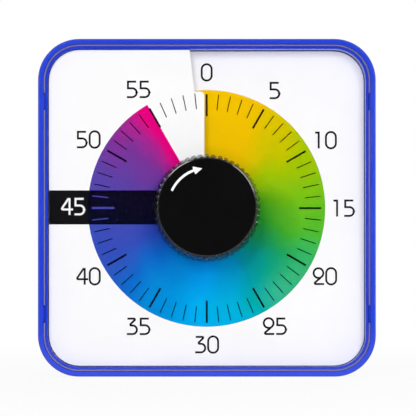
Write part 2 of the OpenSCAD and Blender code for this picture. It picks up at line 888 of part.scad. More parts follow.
module stator() {
    x = rotor_centre[0];
    y = rotor_centre[1];
    right = board_right - 0.4;
    color([0.62, 0.62, 0.64])
        face()
            translate([0, 0, stator_low])
                linear_extrude(1.2)
                    difference() {
                        polygon([
                            for (a = [80 : 20 : 280]) [x + 5 * cos(a), y + 5 * sin(a)],
                            [right, coil_line - 8.9], [right, coil_line + 2.5], [right - 4, coil_line + 2.5],
                            [right - 4, coil_line + 1.1], [-6, coil_line + 1.1], [-6, coil_line + 2.5],
                            [-9, coil_line + 2.5]
                        ]);
                        polygon([[-6, coil_line - 1.1], [right - 4, coil_line - 1.1], [right - 4, coil_line - 5.3],
                                 [-9.5, coil_line - 4.5], [-9.5, coil_line - 2.7]]);
                        translate([x, y])
                            circle(3.4);
                        for (side = [-1, 1])
                            translate([x + side * 2.6, y - side * 2.2])
                                circle(0.5);
                    }
}

module coil() {
    color([0.72, 0.40, 0.22])
        face()
            translate([4, coil_line, stator_low + 0.6])
                difference() {
                    rotate([0, 90, 0])
                        union() {
                            cylinder(r = 2.7, h = 16, center = true);
                            for (end = [-1, 1])
                                translate([0, 0, end * 8])
                                    cylinder(r = 3.2, h = 1, center = true);
                        }
                    cube([20, 2.4, 1.4], center = true);
                }
}

module circuit_board() {
    corner = 2.4;
    color([0.10, 0.35, 0.18])
        face()
            difference() {
                translate([0, 0, board_low])
                    linear_extrude(board_top - board_low)
                        polygon([[-4.6, board_bottom], [board_right - corner, board_bottom],
                                 [board_right, board_bottom + corner], [board_right, 7], [-4.6, 7]]);
                post([0, 0], 4.1, board_low - 1, board_top + 1);
            }
}

module chip() {
    color([0.05, 0.05, 0.05])
        face()
            translate([board_right - 7.4, board_bottom + 9.4, board_top + seat]) {
                cylinder(r1 = 3.4, r2 = 2.6, h = 0.7);
                translate([0, 0, 0.7])
                    cylinder(r1 = 2.6, r2 = 1.2, h = 0.4);
            }
}

module quartz_crystal() {
    color([0.80, 0.80, 0.82])
        face()
            translate([board_right - 5.4, -6, board_top + 1 + seat])
                rotate([90, 0, 0]) {
                    cylinder(r = 1, h = 6);
                    translate([0, 0, 6])
                        cylinder(r = 0.7, h = 0.6);
                }
}

module contact_pads() {
    color([0.85, 0.68, 0.30])
        face()
            for (angle = [-34, -6])
                rotate([0, 0, angle])
                    span([6.4, -1.2, board_top + seat], [9.4, 1.2, board_top + 0.1]);
}

module alarm_wiper() {
    color([0.85, 0.68, 0.30])
        face()
            translate([0, 0, board_top + 0.25])
                rotate([0, 0, wiper_angle - 180])
                    linear_extrude(0.3)
                        difference() {
                            union() {
                                circle(4);
                                translate([-9.2, -0.9])
                                    square([5.9, 1.8]);
                            }
                            circle(arbor_radius + arbor_play);
                        }
}

/* ---- sound ---- */

module sounder_case() {
    low = wall + seat;
    color([0.06, 0.06, 0.07])
        face()
            difference() {
                post(sounder_place, sounder_radius, low, low + 6);
                post(sounder_place, sounder_radius - 1.2, low + 1.2, low + 5);
                post(sounder_place, 8, low - 1, low + 2);
                post(sounder_place + [9, 0], 1.6, low + 4, low + 7);
            }
}

module sounder_disc() {
    low = wall + seat + 1.2 + seat;
    color([0.83, 0.66, 0.30])
        face() {
            post(sounder_place, sounder_radius - 1.4, low, low + 0.25);
            post(sounder_place, 9, low + 0.25, low + 0.5);
        }
}

module sound_switch() {
    color([0.05, 0.05, 0.055])
        face()
            translate([switch_place[0], switch_place[1], 0]) {
                span([-6.5, -3.8, wall + 0.1], [6.5, 3.8, wall + 1.3]);
                difference() {
                    span([-3, -2, 0.3], [3, 2, wall + 0.2]);
                    for (rib = [-1.6, 0, 1.6])
                        span([rib - 0.3, -3, -1], [rib + 0.3, 3, 0.7]);
                }
            }
}

module switch_body() {
    color([0.08, 0.08, 0.09])
        face()
            translate([switch_place[0], switch_place[1], 0]) {
                span([-8.6, -4, wall + 1.4], [8.6, 4, wall + 4.8]);
                for (x = [-3, 0, 3])
                    translate([x, 0, wall + 4.8])
                        cylinder(r = 0.4, h = 2.4);
            }
}

/* ---- battery ---- */

module battery() {
    low = cell_length / 2;
    color([0.12, 0.30, 0.36])
        face()
            translate([bay_reach, cell_middle, cell_centre])
                rotate([90, 0, 0])
                    rotate_extrude()
                        polygon([
                            [0, -low], [2.7, -low], [2.7, -low + 1.2], [cell_radius - 0.8, -low + 1.2],
                            [cell_radius, -low + 2], [cell_radius, low - 0.6], [cell_radius - 0.6, low], [0, low]
                        ]);
}

module battery_spring() {
    turns = 4;
    base = -bay_length / 2 + 0.9;
    top = cell_middle - cell_length / 2 - 0.3;
    steps = 16 * turns;
    color([0.80, 0.80, 0.82])
        face()
            translate([bay_reach, 0, cell_centre])
                loft([
                    for (j = [0 : steps])
                        let (turn = 360 * turns * j / steps, r = 4.6 - 1.6 * j / steps)
                        let (along = base + (top - base) * j / steps)
                        [
                            for (k = [0 : 7])
                                let (out = r + 0.28 * cos(45 * k), side = 0.28 * sin(45 * k))
                                [out * cos(turn), along + side, out * sin(turn)]
                        ]
                ], [for (k = [1 : 6]) [0, k, k + 1]]);
}

// A flat contact plate at one end of the compartment, with a solder tab through the wall
module end_plate(way) {
    half = bay_length / 2;
    translate([bay_reach, 0, 0]) {
        translate([0, way * (half - 0.25), 9.4])
            cube([11, 0.4, 11], center = true);
        translate([0, way * (half + 1.5), 12])
            cube([3, 3.6, 0.4], center = true);
    }
}

module spring_plate() {
    color([0.80, 0.80, 0.82])
        face()
            end_plate(-1);
}

module contact_plate() {
    color([0.80, 0.80, 0.82])
        face() {
            end_plate(1);
            translate([bay_reach, bay_length / 2 - 0.44, cell_centre])
                rotate([90, 0, 0])
                    cylinder(r1 = 3.4, r2 = 2.4, h = contact_room - 0.5);
        }
}

module battery_door() {
    width = bay_width / 2 + door_overlap;
    length = bay_length / 2 + door_overlap;
    color([0.15, 0.25, 0.78])
        face()
            translate([bay_reach, 0, 0])
                difference() {
                    union() {
                        span([-width, -length, 0], [width, length - door_axis, door_thickness]);
                        translate([0, length - door_axis, door_axis])
                            rotate([0, 90, 0])
                                cylinder(r = door_axis, h = 2 * width, center = true);
                        door_pins(0, 0);
                    }
                    translate([0, -length + 6, -2.2])
                        rotate([0, 90, 0])
                            cylinder(r = 3, h = 12, center = true);
                    for (rib = [0 : 3])
                        span([-6, -length + 11 + 2 * rib, -1], [6, -length + 12 + 2 * rib, 0.4]);
                }
}

module stand() {
    half = stand_width / 2;
    foot = -stand_drop - stand_length;
    color([0.15, 0.25, 0.78])
        face()
            difference() {
                union() {
                    span([-half, foot + 6, 0], [half, -stand_drop, stand_thickness]);
                    span([-half + 6, foot, 0], [half - 6, foot + 6, stand_thickness]);
                    for (side = [-1, 1])
                        translate([side * (half - 6), foot + 6, 0])
                            cylinder(r = 6, h = stand_thickness);
                    translate([0, -stand_drop, pin_half])
                        rotate([0, 90, 0])
                            cylinder(r = pin_half, h = stand_width, center = true);
                    translate([0, -stand_drop, pin_half])
                        rotate([0, 90, 0])
                            cylinder(r = stand_pin, h = 2 * stand_pin_reach, center = true);
                }
                span([-half + 8, foot + 14, -1], [half - 8, -stand_drop - 10, stand_thickness - 1.4]);
                post([0, foot + 6], 4, -1, stand_thickness + 1);
            }
}

/* ---- fasteners and leads ---- */

module case_screws() {
    color([0.60, 0.60, 0.62])
        face()
            at_screws()
                difference() {
                    union() {
                        cylinder_between(screw_head, counterbore_depth - 2.3, counterbore_depth - seat);
                        cylinder_between(screw_radius, counterbore_depth - 0.1, carrier_low + 3);
                    }
                    for (turn = [0, 90])
                        rotate([0, 0, turn])
                            translate([0, 0, counterbore_depth - 2.3])
                                cube([3.4, 0.8, 2.4], center = true);
                }
}

module cylinder_between(radius, low, high) {
    translate([0, 0, low])
        cylinder(r = radius, h = high - low);
}

module movement_screws() {
    low = movement_top - 2;
    color([0.60, 0.60, 0.62])
        face()
            for (place = ear_places)
                translate([place[0], place[1], 0])
                    difference() {
                        union() {
                            cylinder_between(2.1, low - 1.5, low - seat);
                            cylinder_between(ear_screw_radius, low - 0.1, carrier_low + 1.2);
                        }
                        for (turn = [0, 90])
                            rotate([0, 0, turn])
                                translate([0, 0, low - 1.5])
                                    cube([2.4, 0.6, 1.4], center = true);
                    }
}

// A point on the smooth curve that four points steer, and its direction there
function bend(p, t) = pow(1 - t, 3) * p[0] + 3 * t * pow(1 - t, 2) * p[1]
    + 3 * t * t * (1 - t) * p[2] + pow(t, 3) * p[3];
function heading(p, t) = pow(1 - t, 2) * (p[1] - p[0]) + 2 * t * (1 - t) * (p[2] - p[1])
    + t * t * (p[3] - p[2]);

// An insulated lead along a smooth curve
module wire(p, radius) {
    loft([
        for (j = [0 : 14])
            let (t = j / 14, way = heading(p, t), across = cross(way, [0, 0, 1]) / norm(cross(way, [0, 0, 1])))
            let (over = cross(across, way) / norm(way))
            [for (k = [0 : 9]) bend(p, t) + radius * (cos(36 * k) * across + sin(36 * k) * over)]
    ], [for (k = [1 : 8]) [0, k, k + 1]]);
}

module battery_leads() {
    side = movement_right;
    height = inside_low + 5;
    tab = bay_length / 2 + 3;
    color([0.75, 0.10, 0.10])
        face() {
            wire([[bay_reach - 1, tab, 12.9], [40, tab + 8, 12.9], [44, -8, height], [side - 1, -13, height]], 0.6);
            wire([[bay_reach - 1, -tab, 12.9], [46, -tab - 6, 12.9], [34, -16, height], [side - 1, -15, height]], 0.6);
        }
}

module sounder_leads() {
    side = movement_left;
    height = inside_low + 5;
    color([0.10, 0.10, 0.10])
        face()
            for (shift = [-1, 1])
                wire([[sounder_place[0] + 9, shift * 0.7, wall + 5.6], [sounder_place[0] + 13, shift, wall + 11],
                      [side - 6, shift, height], [side + 1, shift, height]], 0.5);
}

front_frame();
lens();
rear_housing();
dial_card();
dial_carrier();
colour_disk();
disk_hub();
knob_grip();
knob_cap();
arbor();
movement_front();
movement_back();
centre_wheel();
clutch_spring();
third_wheel();
fourth_wheel();
fifth_wheel();
rotor();
stator();
coil();
circuit_board();
chip();
quartz_crystal();
contact_pads();
alarm_wiper();
sounder_case();
sounder_disc();
battery();
battery_spring();
spring_plate();
contact_plate();
battery_door();
stand();
sound_switch();
switch_body();
case_screws();
movement_screws();
battery_leads();
sounder_leads();
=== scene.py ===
# %% [markdown]
# # A countdown timer with a rainbow disk
#
# The timer is a square blue frame around a white minute card. A knob in the middle turns a thin
# coloured film, which slides out through a slit in the card and shows how many minutes are left.
# The construction model holds every piece at its real size, so this script adds what a
# construction model lacks: the printed marks, the knob's fine ribs and the finish of each surface.
#
# The first cell loads that model as a fixed frame. Its pieces are measured here and never moved.

# %% Load the fixed frame
import json
import math

import bmesh
import bpy
from mathutils import Matrix, Vector


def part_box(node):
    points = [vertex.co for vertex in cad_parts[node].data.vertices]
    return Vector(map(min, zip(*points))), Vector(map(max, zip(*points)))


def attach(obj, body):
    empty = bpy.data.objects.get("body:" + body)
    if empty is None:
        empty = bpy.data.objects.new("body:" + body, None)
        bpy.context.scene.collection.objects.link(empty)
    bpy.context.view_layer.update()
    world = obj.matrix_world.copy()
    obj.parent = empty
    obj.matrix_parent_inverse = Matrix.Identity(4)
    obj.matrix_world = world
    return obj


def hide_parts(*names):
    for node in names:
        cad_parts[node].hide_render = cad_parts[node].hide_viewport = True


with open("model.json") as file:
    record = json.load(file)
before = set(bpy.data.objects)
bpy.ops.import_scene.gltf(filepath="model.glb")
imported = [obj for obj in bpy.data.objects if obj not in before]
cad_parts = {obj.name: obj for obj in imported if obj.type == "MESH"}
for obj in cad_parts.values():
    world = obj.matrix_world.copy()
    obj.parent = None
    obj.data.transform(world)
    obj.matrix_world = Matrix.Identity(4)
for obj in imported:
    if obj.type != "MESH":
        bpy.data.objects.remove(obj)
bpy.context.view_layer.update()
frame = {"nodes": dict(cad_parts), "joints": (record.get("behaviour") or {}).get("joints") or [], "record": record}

print("pieces in the frame:", len(frame["nodes"]))

# %% [markdown]
# ## Sizes
#
# Lengths are in metres, so a millimetre gets a short name. Places are read from the frame where it
# has them: the knob's axis is the axis of its joint, and the card's level is the card's own box.
# The card is not flat. It climbs like a very shallow spiral stair, so that the film can pass under
# its upper end and over its lower end. Angles are clockwise from the top of the dial. Flat shapes
# start out lying down, so one turn is named that stands them upright, facing the front.

# %% Sizes and places
MM = 0.001
MINUTES = 60
DEGREES_PER_MINUTE = 360 / MINUTES

axis = Vector(next(j["pos_m"] for j in frame["joints"] if j["name"] == "centre_turn"))
card_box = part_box("dial_card")
grip_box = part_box("knob_grip")
cap_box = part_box("knob_cap")
case_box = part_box("front_frame")

CARD_THICKNESS = 0.2 * MM
CARD_RISE = 9 * MM
SLIT_ANGLE = 6.2
SLIT_SIDE = -4.0
INK = 0.03 * MM
UPRIGHT = (math.pi / 2, 0, 0)
print("knob axis at", [round(v / MM, 2) for v in axis], "mm")


def dial_angle(point):
    """Angle clockwise from the top of the dial, in degrees, running on through the slit."""
    angle = math.degrees(math.atan2(point.x - axis.x, point.z - axis.z))
    return angle if angle > SLIT_SIDE else angle + 360


def from_axis(corner):
    """A corner's distance from the knob's axis."""
    return math.hypot(corner.co.x - axis.x, corner.co.z - axis.z)


def card_front(point):
    """The y of the card's printed side under a point of the dial."""
    return card_box[1].y - CARD_THICKNESS - CARD_RISE * (dial_angle(point) + SLIT_ANGLE) / 360


# %% [markdown]
# ## Modelling by hand, in code
#
# An operator works on whatever is selected, and the loaded frame is still selected. So each piece
# starts with everything deselected, and its faces are then picked by where they are. These helpers
# stand for the clicks: start a shape, enter edit mode, pick corners, leave, and apply a modifier.

# %% Helpers for modelling


def start(operator, name, **settings):
    """Adds a primitive with nothing else selected, and names it."""
    bpy.ops.object.select_all(action="DESELECT")
    operator(**settings)
    piece = bpy.context.active_object
    piece.name = piece.data.name = name
    return piece


def edit(piece):
    """Enters edit mode on one piece alone, picking by corners."""
    bpy.ops.object.select_all(action="DESELECT")
    bpy.context.view_layer.objects.active = piece
    bpy.ops.object.mode_set(mode="EDIT")
    bpy.ops.mesh.select_mode(type="VERT")


def pick(piece, rule):
    """In edit mode, selects the corners that meet the rule, with the edges and faces between."""
    work = bmesh.from_edit_mesh(piece.data)
    for corner in work.verts:
        corner.select = bool(rule(corner))
    work.select_flush_mode()
    bmesh.update_edit_mesh(piece.data)


def leave():
    """Leaves edit mode."""
    bpy.ops.object.mode_set(mode="OBJECT")


def leave_closed():
    """Turns every face of a closed piece outwards, and leaves edit mode."""
    bpy.ops.mesh.select_all(action="SELECT")
    bpy.ops.mesh.normals_make_consistent(inside=False)
    leave()


def subdivide(piece, cuts):
    """Divides every edge of a piece."""
    edit(piece)
    bpy.ops.mesh.select_all(action="SELECT")
    bpy.ops.mesh.subdivide(number_cuts=cuts)
    leave()


def push(*offset):
    """Extrudes what is selected and moves it."""
    bpy.ops.mesh.extrude_region_move(TRANSFORM_OT_translate={"value": offset})


def apply(piece, kind, **settings):
    """Adds a modifier, sets it and applies it."""
    modifier = piece.modifiers.new(kind.title(), kind)
    for name, value in settings.items():
        setattr(modifier, name, value)
    bpy.context.view_layer.objects.active = piece
    bpy.ops.object.modifier_apply(modifier=modifier.name)


def settle(piece):
    """Puts a piece's place into its mesh, so that its object sits at the origin."""
    bpy.ops.object.select_all(action="DESELECT")
    piece.select_set(True)
    bpy.context.view_layer.objects.active = piece
    bpy.ops.object.transform_apply(location=True, rotation=True, scale=True)


def join(pieces, name):
    """Makes one piece of several."""
    bpy.ops.object.select_all(action="DESELECT")
    for piece in pieces:
        piece.select_set(True)
    bpy.context.view_layer.objects.active = pieces[0]
    bpy.ops.object.join()
    pieces[0].name = pieces[0].data.name = name
    return pieces[0]


def turned(angle):
    """The matrix that turns clockwise about the knob's axis, by an angle in degrees."""
    turn = Matrix.Rotation(math.radians(angle), 4, "Y")
    return Matrix.Translation(axis) @ turn @ Matrix.Translation(-axis)


def duplicate(piece, placing):
    """A copy with its own mesh, placed by a matrix."""
    copy = piece.copy()
    copy.data = piece.data.copy()
    bpy.context.collection.objects.link(copy)
    copy.data.transform(placing)
    return copy


def measure(piece):
    """Prints a piece's size in millimetres."""
    size = [round(v / MM, 2) for v in piece.dimensions]
    print(f"{piece.name}: {len(piece.data.polygons)} faces, {size} mm")


# %% [markdown]
# ## Ink on the card
#
# The card's marks are screen-printed. They could be painted in the card's material, but edges of
# real geometry stay crisp at any distance and in any renderer. So each mark is a flat outline
# with a few hundredths of a millimetre of thickness, laid on the climbing card.

# %% Lay a flat mark on the card


def print_on_card(piece):
    """Lays a flat mark on the card, with its back just inside and its front an ink's depth out."""
    for corner in piece.data.vertices:
        corner.co.y = card_front(corner.co) - INK
    apply(piece, "SOLIDIFY", thickness=2 * INK, offset=-1)
    edit(piece)
    leave_closed()
    measure(piece)


# %% [markdown]
# ## Minute marks
#
# There is a bar for each minute, and each fifth one is longer and bolder. One bar of each kind is
# modelled at the top of the dial, and the others are copies turned about the knob's axis. Three
# bars lie on the black band at 45, so they are white.

# %% Model the minute marks
BAR_OUTER = 65.1 * MM
LONG_BAR = (1.16 * MM, 12.6 * MM)
SHORT_BAR = (0.58 * MM, 9.0 * MM)
NUMERAL_STEP = 5
WHITE_MINUTES = (44, 45, 46)


def bar(name, width, length):
    """A flat bar at the top of the dial whose outer end is at the marks' outer circle."""
    middle = axis + Vector((0, 0, BAR_OUTER - length / 2))
    piece = start(bpy.ops.mesh.primitive_plane_add, name, size=1, location=middle, rotation=UPRIGHT)
    piece.scale = (width, length, 1)
    settle(piece)
    subdivide(piece, cuts=1)
    return piece


long_bar = bar("long_bar", *LONG_BAR)
short_bar = bar("short_bar", *SHORT_BAR)
bars = {"black": [], "white": []}
for minute in range(MINUTES):
    model = short_bar if minute % NUMERAL_STEP else long_bar
    colour = "white" if minute in WHITE_MINUTES else "black"
    bars[colour].append(duplicate(model, turned(minute * DEGREES_PER_MINUTE)))
for model in (long_bar, short_bar):
    bpy.data.objects.remove(model)
print("bars:", {colour: len(made) for colour, made in bars.items()})

# %% [markdown]
# ## Numerals
#
# The numerals are drawn with one even line and open, geometric forms, which no font at hand has.
# Each digit is described as a draughtsman would: the corners of the pen's path and the radius of
# the bend at each corner. A flat strip as wide as the pen is then bent along that path. Digits
# sit in cells of equal width, as figures on a dial do.

# %% Bend a strip along a pen's path
PEN = 1.13 * MM
CELL = 7.2 * MM
NUMERAL_RADIUS = 77.5 * MM
BAND_NUMERAL_SHIFT = Vector((1.8, 0, 0.8)) * MM
STEPS_PER_BEND = 10
TIGHT = 0.5
CLOSING_GAP = 1e-6
MITRE_LIMIT = 0.5

# Corners of each stroke: x, y and the bend's radius, in millimetres from the middle of the cell
DIGITS = {
    "0": [[(2.83, 0, 0), (2.83, 4.65, 2.83), (-2.83, 4.65, 2.83), (-2.83, -4.65, 2.83),
           (2.83, -4.65, 2.83), (2.83, 0, 0)]],
    "1": [[(-1.8, 4.3, 0), (0.25, 4.3, 0), (0.25, -4.75, 0)]],
    "2": [[(1.0, -0.92, 0), (-2.75, -0.92, 2.7), (-2.75, 4.55, 2.7), (2.75, 4.55, 2.7),
           (2.75, 0.55, 2.7), (-2.95, -4.4, TIGHT), (3.2, -4.4, 0)]],
    "3": [[(-2.65, 4.35, 0), (2.3, 4.35, TIGHT), (-1.75, 0.45, TIGHT), (2.7, 0.45, 2.4),
           (2.7, -4.4, 2.4), (-3.0, -4.4, 0)]],
    "4": [[(1.0, 4.6, 0), (-3.2, -1.65, TIGHT), (3.5, -1.65, 0)],
          [(1.5, 4.75, 0), (1.5, -4.75, 0)]],
    "5": [[(2.3, 4.35, 0), (-2.3, 4.35, 0), (-2.3, 0.6, 0), (2.6, 0.6, 2.5), (2.6, -4.4, 2.5),
           (-2.9, -4.4, 0)]],
}


def rounded(corners):
    """The points of a path whose corners are rounded."""
    path = []
    for i, (x, y, radius) in enumerate(corners):
        here = Vector((x, y))
        if not radius:
            path.append(here)
            continue
        before = (Vector(corners[i - 1][:2]) - here).normalized()
        after = (Vector(corners[i + 1][:2]) - here).normalized()
        half = before.angle(after) / 2
        centre = here + (before + after).normalized() * radius / math.sin(half)
        first = here + before * radius / math.tan(half) - centre
        sweep = first.angle_signed(here + after * radius / math.tan(half) - centre)
        for k in range(STEPS_PER_BEND + 1):
            path.append(centre + Matrix.Rotation(-sweep * k / STEPS_PER_BEND, 2) @ first)
    return path


def strip(name, corners):
    """A flat strip of the pen's width along a path, upright in front of the dial's centre."""
    path = rounded(corners)
    steps = len(path) - 1
    ways = [(after - before).normalized() for before, after in zip(path, path[1:])]
    closed = (path[0] - path[-1]).length < CLOSING_GAP
    arriving = [ways[-1] if closed else ways[0], *ways]
    leaving = [*ways, ways[0] if closed else ways[-1]]
    piece = start(bpy.ops.mesh.primitive_grid_add, name, x_subdivisions=steps, y_subdivisions=1,
                  size=1)
    for corner in piece.data.vertices:
        i = round((corner.co.x + 0.5) * steps)
        side = 1 if corner.co.y > 0 else -1
        lean = (arriving[i] + leaving[i]).normalized()
        reach = PEN / MM / 2 / max(lean.dot(leaving[i]), MITRE_LIMIT)
        place = path[i] + Vector((-lean.y, lean.x)) * side * reach
        corner.co = axis + Vector((place.x, 0, place.y)) * MM
    return piece


def digit(figure):
    """One digit, at the dial's centre."""
    strokes = [strip(f"stroke_{figure}", corners) for corners in DIGITS[figure]]
    return join(strokes, f"digit_{figure}")


digits = {figure: digit(figure) for figure in DIGITS}
print("digits drawn:", sorted(digits))

# %% [markdown]
# The numerals stand upright around the dial, one at each fifth minute. The pair on the black band
# is white, and stands a little further in and up than the others.

# %% Place the numerals


def numeral(minute):
    """The number of a minute, upright at its place on the dial."""
    figures = str(minute)
    angle = math.radians(minute * DEGREES_PER_MINUTE)
    middle = Vector((math.sin(angle), 0, math.cos(angle))) * NUMERAL_RADIUS
    if minute in WHITE_MINUTES:
        middle += BAND_NUMERAL_SHIFT
    placed = []
    for i, figure in enumerate(figures):
        across = Vector(((i - (len(figures) - 1) / 2) * CELL, 0, 0))
        placed.append(duplicate(digits[figure], Matrix.Translation(middle + across)))
    return placed


numerals = {"black": [], "white": []}
for minute in range(0, MINUTES, NUMERAL_STEP):
    colour = "white" if minute in WHITE_MINUTES else "black"
    numerals[colour] += numeral(minute)
for drawn in digits.values():
    bpy.data.objects.remove(drawn)

minute_bars = join(bars["black"], "minute_bars")
minute_numerals = join(numerals["black"], "minute_numerals")
band_marks = join(bars["white"] + numerals["white"], "band_marks")
for piece in (minute_bars, minute_numerals):
    print_on_card(piece)

# %% [markdown]
# ## The black band
#
# A broad black band runs from the card's left edge to the knob. It starts as a finely divided
# plane, because it has to follow the card's climb, and its inner end is cut off by a bisecting
# plane so that it stays clear of the card's centre hole. The white marks lie on top of it.

# %% Model the black band
BAND_HEIGHT = 19.3 * MM
BAND_LIFT = 0.3 * MM
BAND_INNER = 21 * MM
BAND_EDGE = 0.05 * MM
BAND_GRID = (48, 24)

band_outer = axis.x - card_box[0].x - BAND_EDGE
black_band = start(bpy.ops.mesh.primitive_grid_add, "black_band", x_subdivisions=BAND_GRID[0],
                   y_subdivisions=BAND_GRID[1], size=1, rotation=UPRIGHT,
                   location=axis + Vector((-band_outer / 2, 0, BAND_LIFT)))
black_band.scale = (band_outer, BAND_HEIGHT, 1)
settle(black_band)
edit(black_band)
bpy.ops.mesh.select_all(action="SELECT")
bpy.ops.mesh.bisect(plane_co=axis - Vector((BAND_INNER, 0, 0)), plane_no=(1, 0, 0),
                    clear_outer=True)
leave()
print_on_card(black_band)
print_on_card(band_marks)
band_marks.data.transform(Matrix.Translation((0, -INK / 2, 0)))

# %% [markdown]
# ## The arrow on the knob
#
# A white arrow on the cap says which way to turn. Its shaft is one short edge spun about the
# knob's axis, and its head is that same edge spread into barbs and drawn to a point. It is pressed
# onto the cap once that is made.

# %% Model the arrow
ARROW_RADIUS = 21.6 * MM
ARROW_WIDTH = 1.3 * MM
ARROW_START = 296.5
ARROW_NECK = 338.0
ARROW_TIP = 353.0
ARROW_BARBS = 4.6 * MM
BARB_LENGTH = 0.15 * MM
SHAFT_STEPS = 24

# The angle that half the first square takes up, and how far its end corners are picked from
HALF_STEP = math.degrees(ARROW_WIDTH / 2 / ARROW_RADIUS)
ARROW_REACH = 0.6 * ARROW_WIDTH


def on_cap(radius, angle):
    """A point in front of the cap, at a radius and an angle clockwise from the top."""
    turn = math.radians(angle)
    return axis + Vector((math.sin(turn) * radius, 0, math.cos(turn) * radius))


turn_arrow = start(bpy.ops.mesh.primitive_plane_add, "turn_arrow", size=ARROW_WIDTH,
                   location=axis + Vector((0, 0, ARROW_RADIUS)), rotation=UPRIGHT)
settle(turn_arrow)
turn_arrow.data.transform(turned(ARROW_START))
edit(turn_arrow)
lead = on_cap(ARROW_RADIUS, ARROW_START + HALF_STEP)
pick(turn_arrow, lambda corner: (corner.co - lead).length < ARROW_REACH)
bpy.ops.mesh.spin(steps=SHAFT_STEPS, angle=math.radians(ARROW_START - ARROW_NECK),
                  center=axis, axis=(0, 1, 0))
leave()

# %% [markdown]
# The two corners at the shaft's end are spread into barbs, and those are drawn to the tip and
# merged there, so the head stays one piece with the shaft.

# %% Draw the arrow's head
edit(turn_arrow)
neck = on_cap(ARROW_RADIUS, ARROW_NECK + HALF_STEP)
pick(turn_arrow, lambda corner: (corner.co - neck).length < ARROW_REACH)
tip = on_cap(ARROW_RADIUS, ARROW_TIP)
forward = (tip - neck).normalized()
barbs = neck + forward * BARB_LENGTH
push(*(barbs - neck))
spread = ARROW_BARBS / ARROW_WIDTH
bpy.ops.transform.resize(value=(spread, 1, spread), center_override=barbs)
push(*(tip - barbs))
bpy.ops.mesh.merge(type="CENTER")
leave()

# %% [markdown]
# ## The smooth cap
#
# The cap is turned: a ring of corners is extruded up the wall, over a small rounding at the rim and
# across a face that is crowned by a fifth of a millimetre. That faint crown keeps a black face from
# mirroring its surroundings like a pane of glass. A narrow bevel around the face leans just enough
# to catch the lamps as a thin bright line. One helper draws a ring through a list of stations, and
# the ribbed grip uses it too.

# %% Turn the cap
CAP_CORNERS = 160
CAP_ROUND = 0.12 * MM
BEVEL_WIDTH = 0.42 * MM
BEVEL_DROP = 0.1 * MM
CROWN_DROP = 0.2 * MM
ROUND_STEPS = 4
CAP_SMOOTH = 6
CROWN_SHARES = (1, 0.97, 0.85, 0.65, 0.45, 0.25, 0.1)


def draw_rings(first, stations):
    """Extrudes the selected ring through stations, each a depth (y) and a radius about the axis."""
    depth, radius = first
    for next_depth, next_radius in stations:
        push(0, next_depth - depth, 0)
        step = next_radius / radius
        bpy.ops.transform.resize(value=(step, 1, step),
                                 center_override=(axis.x, next_depth, axis.z))
        depth, radius = next_depth, next_radius


def rounding(depth, radius, size, turns):
    """Stations of a rounded edge that starts at a depth and radius, one for each angle."""
    return [(depth - size * math.sin(turn), radius - size * (1 - math.cos(turn)))
            for turn in turns]


def smooth(piece, angle):
    """Smooth shading, with edges sharper than an angle in degrees kept."""
    bpy.ops.object.select_all(action="DESELECT")
    piece.select_set(True)
    bpy.ops.object.shade_smooth_by_angle(angle=math.radians(angle))


def cap_front(radius):
    """The y of the cap's crowned face at a radius."""
    return cap_box[0].y + CROWN_DROP * (radius / crown_radius) ** 2


cap_radius = cap_box[1].x - axis.x
crown_radius = cap_radius - CAP_ROUND - BEVEL_WIDTH
bevel_slope = math.atan2(BEVEL_DROP, BEVEL_WIDTH)
rim = cap_front(crown_radius) + BEVEL_DROP + CAP_ROUND * math.cos(bevel_slope)
turns = [(math.pi / 2 - bevel_slope) * k / ROUND_STEPS for k in range(ROUND_STEPS + 1)]
crown = [crown_radius * share for share in CROWN_SHARES]
cap = start(bpy.ops.mesh.primitive_circle_add, "smooth_cap", vertices=CAP_CORNERS,
            radius=cap_radius, fill_type="NGON", location=(axis.x, cap_box[1].y, axis.z),
            rotation=UPRIGHT)
settle(cap)
edit(cap)
pick(cap, lambda corner: True)
draw_rings((cap_box[1].y, cap_radius), [
    *rounding(rim, cap_radius, CAP_ROUND, turns),
    *((cap_front(radius), radius) for radius in crown)])
bpy.ops.mesh.merge(type="CENTER")
leave_closed()
smooth(cap, CAP_SMOOTH)
measure(cap)

# %% [markdown]
# The arrow is still flat. Each of its corners now goes to the level of the crowned face under it,
# and the arrow gets an ink's thickness, as the marks on the card did.

# %% Press the arrow onto the cap
for corner in turn_arrow.data.vertices:
    corner.co.y = cap_front(from_axis(corner)) - INK
apply(turn_arrow, "SOLIDIFY", thickness=2 * INK, offset=-1)
measure(turn_arrow)

# %% [markdown]
# ## The knob's ribs
#
# The grip tapers a little towards the cap and has fifty rounded ribs. The frame's grip has the
# right size with few faces. Here a ring of corners is modelled with one rib's outline repeated
# around it, and the ring is drawn up the grip, in towards the cap, and over a rounded upper edge.
# Underneath, the same ring is drawn inwards and up, which makes the hollow and the socket.

# %% Model the ribs' outline
RIBS = 50
CORNERS_PER_RIB = 12
RIB_DEPTH = 1.15 * MM
RIB_SHARE = 0.84

rib_tip = grip_box[1].x - axis.x
valley = rib_tip - RIB_DEPTH
foot = grip_box[1].y


def rib_height(k):
    """How far a rib stands out of the valley at its k-th corner, from 0 to 1."""
    across = abs((k / CORNERS_PER_RIB + 0.5) % 1 - 0.5) * 2 / RIB_SHARE
    return math.sqrt(1 - across * across) if across < 1 else 0


knob_grip = start(bpy.ops.mesh.primitive_circle_add, "ribbed_grip", vertices=RIBS * CORNERS_PER_RIB,
                  radius=valley, location=(axis.x, foot, axis.z), rotation=UPRIGHT)
settle(knob_grip)
edit(knob_grip)
for k in range(CORNERS_PER_RIB):
    swell = 1 + RIB_DEPTH / valley * rib_height(k)
    pick(knob_grip, lambda corner: corner.index % CORNERS_PER_RIB == k)
    bpy.ops.transform.resize(value=(swell, 1, swell), center_override=axis)
leave()
print("grip radius", round(rib_tip / MM, 2), "valley", round(valley / MM, 2))

# %% [markdown]
# The ribs keep their shape up the grip because the whole ring is scaled about the axis. The
# stations give the radius at the ribs' tips.

